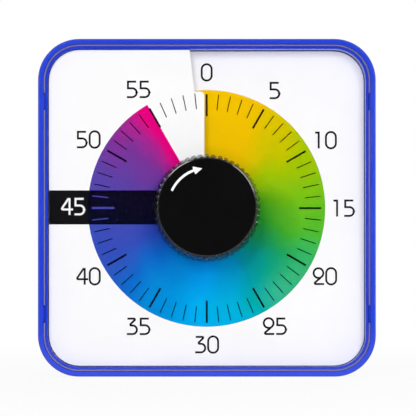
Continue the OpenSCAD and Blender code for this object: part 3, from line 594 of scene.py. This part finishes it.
# %% Raise the grip to the cap
GRIP_TAPER = 0.93
EDGE_ROUND = 0.15 * MM
EDGE_TURNS = [math.radians(angle) for angle in (0, 30, 60, 90)]
ROOF_SHARE = 0.8

top = grip_box[0].y
round_start = top + EDGE_ROUND
round_radius = rib_tip * (1 - (1 - GRIP_TAPER) * (foot - round_start) / (foot - top))
edit(knob_grip)
pick(knob_grip, lambda corner: True)
draw_rings((foot, rib_tip), [
    *rounding(round_start, round_radius, EDGE_ROUND, EDGE_TURNS),
    (top, rib_tip * GRIP_TAPER * ROOF_SHARE)])
bpy.ops.mesh.edge_face_add()
leave()

# %% [markdown]
# The underside starts from the first ring again. It goes inwards to the wall, up into the hollow,
# across to the neck, down the neck to the hub, in to the bore, and up to the bore's end.

# %% Hollow the grip from below
NECK_RADIUS = 12 * MM
BORE_RADIUS = 2.65 * MM
GRIP_WALL = 2.2 * MM
GRIP_ROOF = 2 * MM
SOCKET_ROOF = 3 * MM
HUB_SEAT = 0.02 * MM
FINE = 0.01 * MM
GRIP_SMOOTH = 38

hub_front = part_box("disk_hub")[0].y - HUB_SEAT
hollow_radius = valley * GRIP_TAPER - GRIP_WALL
edit(knob_grip)
bpy.ops.mesh.select_all(action="DESELECT")
bpy.ops.mesh.primitive_circle_add(vertices=RIBS * CORNERS_PER_RIB, radius=hollow_radius,
                                  location=(axis.x, foot, axis.z), rotation=UPRIGHT)
pick(knob_grip, lambda corner: corner.co.y > foot - FINE)
bpy.ops.mesh.bridge_edge_loops()
pick(knob_grip, lambda corner: corner.co.y > foot - FINE
     and from_axis(corner) < hollow_radius + FINE)
draw_rings((foot, hollow_radius), [
    (top + GRIP_ROOF, hollow_radius), (top + GRIP_ROOF, NECK_RADIUS), (hub_front, NECK_RADIUS),
    (hub_front, BORE_RADIUS), (top + SOCKET_ROOF, BORE_RADIUS)])
bpy.ops.mesh.edge_face_add()
leave_closed()
smooth(knob_grip, GRIP_SMOOTH)
measure(knob_grip)

# %% [markdown]
# ## Finishes
#
# Every finish is worked out from the surface's own place, so nothing has to be painted by hand.
# Its colour and gloss are sums of angles, distances and noise, and one small class lets those sums
# be written as sums.

# %% Sums on sockets


class Link:
    """A socket that other nodes can read, with arithmetic on it."""

    def __init__(self, owner, socket):
        self.owner = owner
        self.socket = socket

    def maths(self, operation, *terms):
        """The result of any operation of the Math node."""
        return self.owner.node("ShaderNodeMath", {"operation": operation}, dict(enumerate(terms)))

    def __add__(self, other):
        return self.maths("ADD", self, other)

    __radd__ = __add__

    def __sub__(self, other):
        return self.maths("SUBTRACT", self, other)

    def __rsub__(self, other):
        return self.maths("SUBTRACT", other, self)

    def __mul__(self, other):
        return self.maths("MULTIPLY", self, other)

    __rmul__ = __mul__

    def __truediv__(self, other):
        return self.maths("DIVIDE", self, other)


def paint(red, green, blue):
    """A colour given as it looks on a screen, from 0 to 255, as the light it stands for."""
    light = [(v / 255 / 12.92) if v < 11 else ((v / 255 + 0.055) / 1.055) ** 2.4
             for v in (red, green, blue)]
    return (*light, 1.0)


# %% [markdown]
# Every node that is no sum comes from one method, which takes the node's type, its settings, and
# the values or links of its sockets. The methods after it are shorthands for nodes that come up
# often. A finish is such a tree around a Principled shader, and the sky of the studio is another.

# %% Shader nodes and finishes under construction
BEVEL_SAMPLES = 4
WHITE = (1, 1, 1, 1)
BLACK = (0, 0, 0, 1)


def place_stops(ramp, stops):
    """Gives a ramp its stops, each a position and a colour, in order of position."""
    while len(ramp.elements) < len(stops):
        ramp.elements.new(0)
    # A stop that moves can change places with another, so the colours wait for all positions
    for element, (position, _) in zip(ramp.elements, stops):
        element.position = position
    for element, (_, colour) in zip(ramp.elements, stops):
        element.color = colour


class Nodes:
    """A tree of shader nodes, with a name for the node that shows its result."""

    def __init__(self, tree, result):
        self.tree = tree
        self.result = tree.nodes[result]

    def node(self, kind, settings=None, inputs=None, output=0):
        """Adds a node, sets it, feeds its inputs and gives one of its outputs."""
        made = self.tree.nodes.new(kind)
        for name, value in (settings or {}).items():
            if name == "stops":
                place_stops(made.color_ramp, value)
            elif name == "interpolation":
                made.color_ramp.interpolation = value
            else:
                setattr(made, name, value)
        for name, value in (inputs or {}).items():
            self.feed(made.inputs[name], value)
        return Link(self, made.outputs[output])

    def feed(self, socket, value):
        """Gives a socket a link or a plain value."""
        if isinstance(value, Link):
            self.tree.links.new(value.socket, socket)
        else:
            socket.default_value = value

    def show(self, surface):
        """Makes a shader the one that is seen."""
        self.feed(self.result.inputs["Surface"], surface)

    def fit(self, value, low, high, first=0.0, last=1.0):
        """A value carried from between low and high to between first and last."""
        return self.node("ShaderNodeMapRange", {},
                         {"Value": value, 1: low, 2: high, 3: first, 4: last})

    def part(self, vector, name):
        """The X, Y or Z of a vector."""
        return self.node("ShaderNodeSeparateXYZ", {}, {0: vector}, output=name)

    def rays(self, *kinds):
        """Whether a ray is of each of these kinds."""
        return [self.node("ShaderNodeLightPath", output=f"Is {kind} Ray") for kind in kinds]

    def blend(self, share, first, second):
        """A shader between two others."""
        return self.node("ShaderNodeMixShader", {}, {0: share, 1: first, 2: second})


class Finish(Nodes):
    """A material with its Principled shader, and the nodes that feed it."""

    def __init__(self, name, **values):
        self.material = bpy.data.materials.new(name)
        self.material.use_nodes = True
        super().__init__(self.material.node_tree, "Material Output")
        self.shader = self.tree.nodes["Principled BSDF"]
        self.surface = Link(self, self.shader.outputs[0])
        self.place = self.node("ShaderNodeTexCoord", output="Object")
        for name, value in values.items():
            self.set(name.replace("_", " ").title().replace("Ior", "IOR"), value)

    def set(self, name, value):
        """Feeds one input of the Principled shader."""
        self.feed(self.shader.inputs[name], value)

    def noise(self, size, detail=2.0, along=None):
        """Soft noise whose lumps are about this size, from 0 to 1."""
        return self.node("ShaderNodeTexNoise", {}, {
            "Vector": along or self.place, "Scale": 1 / size, "Detail": detail})

    def mix(self, share, first, second, blend="MIX"):
        """A colour between two others."""
        return self.node("ShaderNodeMix", {"data_type": "RGBA", "blend_type": blend},
                         {0: share, 6: first, 7: second}, output=2)

    def ramp(self, value, *stops, interpolation="LINEAR"):
        """A colour read from stops, each a position and a colour, in order of position."""
        return self.node("ShaderNodeValToRGB", {"interpolation": interpolation, "stops": stops},
                         {0: value})

    def from_point(self, point):
        """The place on the surface, counted from a point."""
        return self.node("ShaderNodeVectorMath", {"operation": "SUBTRACT"},
                         {0: self.place, 1: point})

    def length(self, vector):
        """The length of a vector."""
        return self.node("ShaderNodeVectorMath", {"operation": "LENGTH"}, {0: vector}, output=1)

    def bump(self, height, depth, edge=0):
        """Raises the surface by height times depth, over edges rounded by a radius."""
        inputs = {"Height": height, "Distance": depth, "Strength": 1.0}
        if edge:
            inputs["Normal"] = self.node("ShaderNodeBevel", {"samples": BEVEL_SAMPLES},
                                         {"Radius": edge})
        self.set("Normal", self.node("ShaderNodeBump", {}, inputs))


# %% [markdown]
# ### Moulded plastic
#
# A moulded part is never one flat colour. Its tone drifts slightly where the plastic flowed, its
# surface carries the mould's fine grain, and its gloss varies where it has been handled. The same
# recipe serves every plastic here, with a different colour, gloss and grain.

# %% Moulded plastics
FLOW_SIZE = 38 * MM
HANDLED_SIZE = 9 * MM
HANDLED_GLOSS = 0.08
GRAIN_SIZE = 0.35 * MM


def moulded(name, colour, gloss, grain=0.004 * MM, drift=0.06, edge=0.25 * MM):
    """A moulded plastic: gloss is its roughness, grain the depth of its texture."""
    finish = Finish(name)
    flow = finish.noise(FLOW_SIZE, 3)
    handling = finish.noise(HANDLED_SIZE, 4)
    paler = tuple(min(1, v * (1 + drift) + drift * 0.02) for v in colour[:3]) + (1,)
    deeper = tuple(v * (1 - drift) for v in colour[:3]) + (1,)
    finish.set("Base Color", finish.mix(flow, deeper, paler))
    finish.set("Roughness", gloss + (handling - 0.5) * HANDLED_GLOSS)
    finish.bump(finish.noise(GRAIN_SIZE, 2), grain, edge)
    return finish.material


finishes = {
    "blue_case": moulded("blue_case", paint(30, 60, 204), 0.13, grain=0.0012 * MM),
    "blue_door": moulded("blue_door", paint(20, 51, 200), 0.28, grain=0.008 * MM),
    "white_plastic": moulded("white_plastic", paint(236, 236, 238), 0.45, drift=0.02),
    "black_plastic": moulded("black_plastic", paint(34, 34, 36), 0.42),
    "black_ribbed": moulded("black_ribbed", paint(16, 15, 16), 0.27, grain=0.0006 * MM, edge=0),
    "black_cap": moulded("black_cap", paint(9, 9, 10), 0.08, grain=0.0005 * MM, edge=0),
    "gear_plastic": moulded("gear_plastic", paint(238, 237, 230), 0.38, drift=0.02, edge=0),
    "red_lead": moulded("red_lead", paint(176, 22, 20), 0.35, edge=0),
    "black_lead": moulded("black_lead", paint(24, 24, 25), 0.35, edge=0),
}
print("plastics:", sorted(finishes))

# %% [markdown]
# ### Card and ink
#
# The card is matt coated board. Its white has a faint cloudiness and the slight tooth of paper.
# The ink is dense and as matt as the card.

# %% Card and ink


def card_finish():
    """White matt board with a faint tooth."""
    finish = Finish("white_card")
    cloud = finish.noise(14 * MM, 4)
    finish.set("Base Color", finish.mix(cloud, paint(246, 245, 246), paint(251, 250, 250)))
    finish.set("Roughness", 0.62 + (cloud - 0.5) * 0.1)
    finish.bump(finish.noise(0.3 * MM, 3), 0.004 * MM)
    return finish.material


def ink_finish(name, colour):
    """Screen-printed ink, matt enough to stay dark under the lamps."""
    finish = Finish(name, specular_ior_level=0.08)
    coat = finish.noise(1.2 * MM, 3)
    finish.set("Base Color", finish.mix(coat, colour, tuple(v * 0.94 + 0.002 for v in colour)))
    finish.set("Roughness", 0.65 + (coat - 0.5) * 0.1)
    return finish.material


finishes["white_card"] = card_finish()
black_ink = ink_finish("black_ink", paint(3, 3, 5))
white_ink = ink_finish("white_ink", paint(246, 246, 248))

# %% [markdown]
# ### The rainbow film
#
# The film is clear plastic printed with transparent inks, so what lies under it shows through in its colour: white
# card glows, and black marks stay black. A glass-like shader tinted by the inks does the same, and light that only
# passes through the film on its way goes unbent. The colour follows the angle around the knob. Soft noise bends
# that angle a little, so the inks run into each other like watercolour instead of in straight spokes. A painted
# shadow of the knob darkens the greens and blues near it, and the green thins out at the rim.

# %% The rainbow film
FILM_START = 330

# Angle on the dial as the timer is built, and the ink there
INKS = [
    (FILM_START, paint(255, 168, 0)), (352, paint(255, 206, 0)), (26, paint(250, 200, 0)),
    (44, paint(221, 202, 0)), (60, paint(171, 203, 2)), (84, paint(123, 199, 23)),
    (104, paint(76, 193, 47)), (121, paint(40, 186, 96)), (136, paint(14, 184, 142)),
    (150, paint(0, 181, 180)), (165, paint(0, 185, 226)), (182, paint(0, 182, 250)),
    (205, paint(0, 153, 228)), (226, paint(15, 110, 210)), (246, paint(54, 83, 194)),
    (270, paint(78, 76, 182)), (292, paint(101, 67, 170)), (308, paint(129, 54, 159)),
    (319, paint(184, 34, 146)), (326, paint(235, 0, 130)),
]


def film_place(angle):
    """How far round the film an angle of the dial is, from 0 at one end to 1 at the other."""
    return (angle - FILM_START) % 360 / 360


# The size of the noise's coarse and fine lumps and how far each bends the angle, and the share of
# the way round from which the bending dies down, so that the last ink ends in a straight edge
COARSE_BEND = (26 * MM, 0.08)
FINE_BEND = (7 * MM, 0.012)
STRAIGHT_FROM = 0.96

# A painted shadow of the knob darkens the inks up to a radius and fades out over the reach beyond it, by a share
# that depends on the angle. Towards the film's rim the green is thinner still.
PAINTED_SHADOW_FROM = 36 * MM
PAINTED_SHADOW_REACH = 24 * MM
PAINTED_SHADOW_TINT = (0.3, 0.58, 0.85, 1)
PAINTED_SHADOW_SHARES = [(330, 0), (40, 0.05), (66, 0.08), (84, 0.7), (121, 1), (150, 1), (182, 0.8), (226, 0.45),
         (246, 0.4), (270, 0.2), (292, 0)]
RIM_BAND = (50 * MM, 62 * MM)
THIN_INK = [(96, 0), (125, 0.06), (140, 0.08), (152, 0)]
THIN_TINT = paint(180, 235, 190)


def film_finish():
    """Transparent inks on clear film, by angle."""
    finish = Finish("rainbow_film", transmission_weight=1.0, ior=1.45, roughness=0.04)
    centred = finish.from_point(axis)
    across, up = (finish.part(centred, name) for name in "XZ")
    turn = across.maths("ARCTAN2", across, up)
    radius = finish.length(centred)
    share = turn / math.tau + (1 - FILM_START / 360)
    wrapped = share.maths("FRACT", share)
    freedom = finish.fit(wrapped, 1.0, STRAIGHT_FROM)
    coarse = (finish.noise(COARSE_BEND[0], 1.5) - 0.5) * COARSE_BEND[1]
    fine = (finish.noise(FINE_BEND[0], 3) - 0.5) * FINE_BEND[1]
    bent = wrapped + (coarse + fine) * freedom
    inks = finish.ramp(bent, *((film_place(at), ink) for at, ink in INKS))

    def around(stops):
        """An amount that follows the angle on the dial."""
        return finish.ramp(wrapped, *((film_place(at), (v, v, v, 1)) for at, v in stops))

    # Painted shadow of the knob: a darker tint over the inks near the knob, strongest to its lower right
    painted_knob_shadow = finish.fit(around(PAINTED_SHADOW_SHARES) - (radius - PAINTED_SHADOW_FROM) / PAINTED_SHADOW_REACH, 0.0, 1.0)
    inks = finish.mix(painted_knob_shadow, inks, PAINTED_SHADOW_TINT, "MULTIPLY")
    thin = around(THIN_INK) * finish.fit(radius, *RIM_BAND)
    finish.set("Base Color", finish.mix(thin, inks, THIN_TINT))
    rays = finish.rays("Shadow", "Diffuse")
    clear = finish.node("ShaderNodeBsdfTransparent")
    finish.show(finish.blend(rays[0].maths("MAXIMUM", *rays), finish.surface, clear))
    return finish.material


finishes["rainbow_film"] = film_finish()

# %% [markdown]
# ### The clear cover
#
# The cover is clear and polished, and light has to pass it to reach the dial. A low alpha lets everything through
# unbent, and leaves a faint sheen. A painted highlight along its cut edge, a pale band that lets less through,
# shows as a thin pale line inside the frame.

# %% The clear cover
COVER_CORNER = 20 * MM
COVER_HIGHLIGHT_WIDTH = 0.75 * MM
COVER_HIGHLIGHT_FADE = 0.15 * MM
COVER_DARK = (0.01, 0.01, 0.012, 1)
COVER_HAZE = (0.03, 0.01)
COVER_HIGHLIGHT_ALPHA = 0.45


def cover_finish():
    """Clear polished plastic that barely shows, except for a painted highlight along its cut edge."""
    finish = Finish("clear_cover", roughness=0.06)
    low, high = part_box("lens")
    half, middle = (high.x - low.x) / 2, (low + high) / 2
    centred = finish.from_point(middle)
    sides = [finish.part(centred, name) for name in "XZ"]
    beyond = [side.maths("ABSOLUTE", side) - (half - COVER_CORNER) for side in sides]
    beyond = [side.maths("MAXIMUM", side, 0) for side in beyond]
    total = beyond[0] * beyond[0] + beyond[1] * beyond[1]
    inner = COVER_CORNER - COVER_HIGHLIGHT_WIDTH
    edge = finish.fit(total.maths("SQRT", total), inner, inner + COVER_HIGHLIGHT_FADE)
    haze = finish.noise(30 * MM, 2)
    # Painted highlight: a pale, less clear band along the cover's cut edge stands in for the light it catches
    finish.set("Base Color", finish.mix(edge, COVER_DARK, paint(178, 168, 176)))
    finish.set("Alpha", COVER_HAZE[0] + haze * COVER_HAZE[1] + edge * COVER_HIGHLIGHT_ALPHA)
    return finish.material


finishes["clear_cover"] = cover_finish()

# %% [markdown]
# ### Metals
#
# Drawn, plated and stamped metal differ in how smooth they are and in the direction of the marks
# that making them left. Long thin noise gives the drawing lines.

# %% Metals


def metal(name, colour, roughness, lines=(1, 1, 1), streak=0.3 * MM, tarnish=0.1):
    """A metal whose fine streaks are stretched by lines along x, y and z."""
    finish = Finish(name, metallic=1.0)
    along = finish.node("ShaderNodeMapping", {}, {"Vector": finish.place, "Scale": lines})
    marks = finish.noise(streak, 3, along)
    cloud = finish.noise(5 * MM, 3)
    darker = tuple(v * 0.8 for v in colour[:3]) + (1,)
    finish.set("Base Color", finish.mix(cloud * tarnish * 4, colour, darker))
    finish.set("Roughness", roughness + (marks - 0.5) * 0.2)
    finish.bump(marks, 0.002 * MM)
    return finish.material


finishes.update({
    "steel": metal("steel", paint(214, 214, 218), 0.28, (1, 0.1, 1)),
    "zinc_screw": metal("zinc_screw", paint(205, 206, 212), 0.36),
    "silicon_steel": metal("silicon_steel", paint(176, 176, 182), 0.42, (0.15, 1, 1)),
    "nickel": metal("nickel", paint(222, 219, 210), 0.22, (1, 0.2, 1)),
    "gold_contact": metal("gold_contact", paint(232, 192, 98), 0.26, (0.2, 1, 1)),
})
print("finishes:", len(finishes))

# %% [markdown]
# ### Parts of the movement
#
# The coil's winding, the board's solder resist over its tracks, the bonded magnet of the rotor
# and the cell's printed sleeve each have a pattern of their own.

# %% Coil, board, rotor and cell


def coil_finish():
    """Enamelled wire wound in close turns along x."""
    finish = Finish("copper_coil", metallic=0.85)
    turns = finish.node("ShaderNodeTexWave", {"wave_type": "BANDS", "bands_direction": "X",
                                              "wave_profile": "SIN"},
                        {"Vector": finish.place, "Scale": 1 / (1.3 * MM), "Distortion": 0.4})
    finish.set("Base Color", finish.mix(turns, paint(120, 52, 22), paint(214, 122, 62)))
    finish.set("Roughness", 0.32 + turns * 0.1)
    finish.bump(turns, 0.05 * MM)
    return finish.material


def board_finish():
    """Green solder resist over copper tracks."""
    finish = Finish("green_board")
    tracks = finish.node("ShaderNodeTexWave", {"wave_type": "BANDS", "bands_direction": "DIAGONAL"},
                         {"Vector": finish.place, "Scale": 1 / (9 * MM), "Distortion": 3.0,
                          "Detail": 0.0})
    raised = finish.ramp(tracks, (0.55, BLACK), (0.6, WHITE))
    finish.set("Base Color", finish.mix(raised, paint(14, 84, 42), paint(40, 128, 66)))
    finish.set("Roughness", 0.3 + finish.noise(4 * MM) * 0.1)
    finish.bump(raised, 0.03 * MM)
    return finish.material


def rotor_finish():
    """Grey bonded magnet with coarse grains."""
    finish = Finish("rotor_dark", metallic=0.3)
    grains = finish.node("ShaderNodeTexVoronoi", {},
                         {"Vector": finish.place, "Scale": 1 / (0.25 * MM)})
    finish.set("Base Color", finish.mix(grains, paint(88, 88, 94), paint(60, 60, 66)))
    finish.set("Roughness", 0.5 + grains * 0.2)
    finish.bump(grains, 0.01 * MM)
    return finish.material


def cell_finish():
    """A plain two-tone sleeve with bright metal ends, by height along the cell."""
    finish = Finish("cell_sleeve")
    low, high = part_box("battery")
    share = (finish.part(finish.place, "Z") - low.z) / (high.z - low.z)
    metal_end = (0.62, 0.6, 0.56, 1)
    bands = finish.ramp(share, (0.0, metal_end), (0.02, paint(16, 44, 58)),
                        (0.68, paint(222, 150, 60)), (0.955, metal_end), interpolation="CONSTANT")
    ends = finish.ramp(share, (0.0, WHITE), (0.02, BLACK), (0.94, BLACK), (0.955, WHITE))
    finish.set("Base Color", bands)
    finish.set("Metallic", ends)
    finish.set("Roughness", 0.28 + finish.noise(6 * MM) * 0.08)
    return finish.material


finishes.update({"copper_coil": coil_finish(), "green_board": board_finish(),
                 "rotor_dark": rotor_finish(), "cell_sleeve": cell_finish()})

# %% [markdown]
# ## Dress the frame
#
# The record names the finish of each of the frame's pieces, and each piece's slots now get it.

# %% Give each piece its finish


def dress(piece, finish):
    """Puts one finish on all of a piece."""
    if not piece.data.materials:
        piece.data.materials.append(finish)
    for slot in piece.material_slots:
        slot.material = finish


for part in frame["record"]["subparts"]:
    dress(frame["nodes"][part["node"]], finishes[part["material_slot"]])

new_pieces = [
    (minute_bars, black_ink, "case_body", "black_plastic"),
    (minute_numerals, black_ink, "case_body", "black_plastic"),
    (black_band, black_ink, "case_body", "black_plastic"),
    (band_marks, white_ink, "case_body", "white_plastic"),
    (turn_arrow, white_ink, "knob_body", "white_plastic"),
    (knob_grip, finishes["black_ribbed"], "knob_body", "black_ribbed"),
    (cap, finishes["black_cap"], "knob_body", "black_cap"),
]
for piece, finish, body, slot in new_pieces:
    dress(piece, finish)
    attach(piece, body)
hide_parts("knob_grip")
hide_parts("knob_cap")
print("dressed", len(frame["nodes"]), "frame pieces and", len(new_pieces), "new ones")

# %% [markdown]
# ## The studio
#
# The timer stands on a pale floor. For the camera the floor is white, but near the timer a little
# of its own surface shows, and with it the timer's shadow.

# %% Floor
FLOOR_SIZE = 1.0
FLOOR_FADE = (0.12, 0.45)
FADE_FROM = 0.92

floor = start(bpy.ops.mesh.primitive_plane_add, "floor", size=FLOOR_SIZE)
subdivide(floor, cuts=3)


def floor_finish():
    """A pale floor that fades to plain white away from the timer for the camera."""
    finish = Finish("floor", base_color=(0.9, 0.9, 0.9, 1), roughness=0.9)
    fade = finish.fit(finish.length(finish.place), *FLOOR_FADE, FADE_FROM, 1.0)
    camera_ray, glossy, through = finish.rays("Camera", "Glossy", "Transmission")
    seen = fade.maths("MAXIMUM", camera_ray, fade.maths("MAXIMUM", glossy, through))
    white = finish.node("ShaderNodeEmission", {}, {"Color": WHITE, "Strength": 1.0})
    finish.show(finish.blend(seen * fade, finish.surface, white))
    return finish.material


dress(floor, floor_finish())

# %% [markdown]
# Two soft lamps stand before the timer, to the left and right and above the camera's line. Their
# mirrored shapes draw the bright arcs around the cap. Most of the light comes from a third lamp
# beside the camera, which is kept out of reflections so that the clear cover and the film stay free
# of glare. A fourth lights the back. All are weak enough for the white card to stay below white.

# %% Lamps


def lamp(name, place, size, watts, mirrored=True):
    """A large soft lamp aimed at the dial, which may be kept out of reflections."""
    light = bpy.data.lights.new(name, "AREA")
    light.shape = "RECTANGLE"
    light.size, light.size_y = size
    light.energy = watts
    holder = bpy.data.objects.new(name, light)
    bpy.context.collection.objects.link(holder)
    holder.location = place
    holder.rotation_euler = (axis - holder.location).to_track_quat("-Z", "Y").to_euler()
    holder.visible_glossy = holder.visible_transmission = mirrored


# Each lamp's place, its width and height in metres, and its watts
lamp("left_lamp", (-0.50, -1.8, 0.76), (0.36, 0.66), 9.2)
lamp("right_lamp", (0.70, -1.8, 0.64), (0.36, 0.66), 7.7)
lamp("front_lamp", (0.14, -1.8, 0.18), (0.7, 0.32), 14.9, mirrored=False)
lamp("back_lamp", (0.6, 2.2, 1.5), (1.6, 1.6), 26.0)

# %% [markdown]
# The surroundings give a faint even light. The camera sees them white, and so do reflections,
# except straight behind the camera. There they are dark, so that black plastic and the clear cover
# mirror nothing bright towards the camera.

# %% Surroundings
AMBIENT = 0.27
DARK_LIGHT = 0.01

# A direction's y, which is -1 straight behind the camera: where the dark ends and white begins
DARK_CONE = (-0.97, -0.8)

world = bpy.data.worlds.new("studio")
bpy.context.scene.world = world
world.use_nodes = True
sky = Nodes(world.node_tree, "World Output")


def light_around(strength):
    """White light from all around."""
    return sky.node("ShaderNodeBackground", {}, {"Color": WHITE, "Strength": strength})


direction = sky.part(sky.node("ShaderNodeTexCoord", output="Generated"), "Y")
backdrop = light_around(1.0)
mirrored = light_around(sky.fit(direction, *DARK_CONE, DARK_LIGHT, 1.0))
shown = light_around(AMBIENT)
for ray, light in zip(sky.rays("Glossy", "Transmission", "Camera"), (mirrored, backdrop, backdrop)):
    shown = sky.blend(ray, shown, light)
sky.show(shown)

# %% [markdown]
# ## The camera
#
# The camera looks almost straight at the dial from a little over a metre, slightly from below and
# from the left. A small shift of the lens puts the timer in its place in the picture while the
# camera stays almost level, so the square case hardly tapers.

# %% Camera
VIEW_WIDTH = 234.4 * MM
DISTANCE = 1.1
AZIMUTH = math.radians(-0.52)
ELEVATION = math.radians(-1.56)
SENSOR = 36.0
SHIFT = Vector((0.046, 0.10))
AIM_OFFSET = Vector((0.62 * MM, -0.2 * MM))

lip = case_box[0].y
aim = Vector((axis.x + AIM_OFFSET.x, lip, axis.z + AIM_OFFSET.y))
eye = axis + Vector((math.tan(AZIMUTH), 0, math.tan(ELEVATION))) * DISTANCE
eye.y = lip - DISTANCE
target = aim - Vector((SHIFT.x, 0, SHIFT.y)) * VIEW_WIDTH
camera = bpy.data.objects.new("camera", bpy.data.cameras.new("camera"))
bpy.context.collection.objects.link(camera)
camera.location = eye
camera.rotation_euler = (target - eye).to_track_quat("-Z", "Y").to_euler()
camera.data.sensor_width = SENSOR
camera.data.lens = SENSOR * DISTANCE / VIEW_WIDTH
camera.data.shift_x, camera.data.shift_y = SHIFT
bpy.context.scene.camera = camera
bpy.context.scene.view_settings.view_transform = "Standard"
print("camera at", [round(v, 3) for v in eye], "lens", round(camera.data.lens, 1))
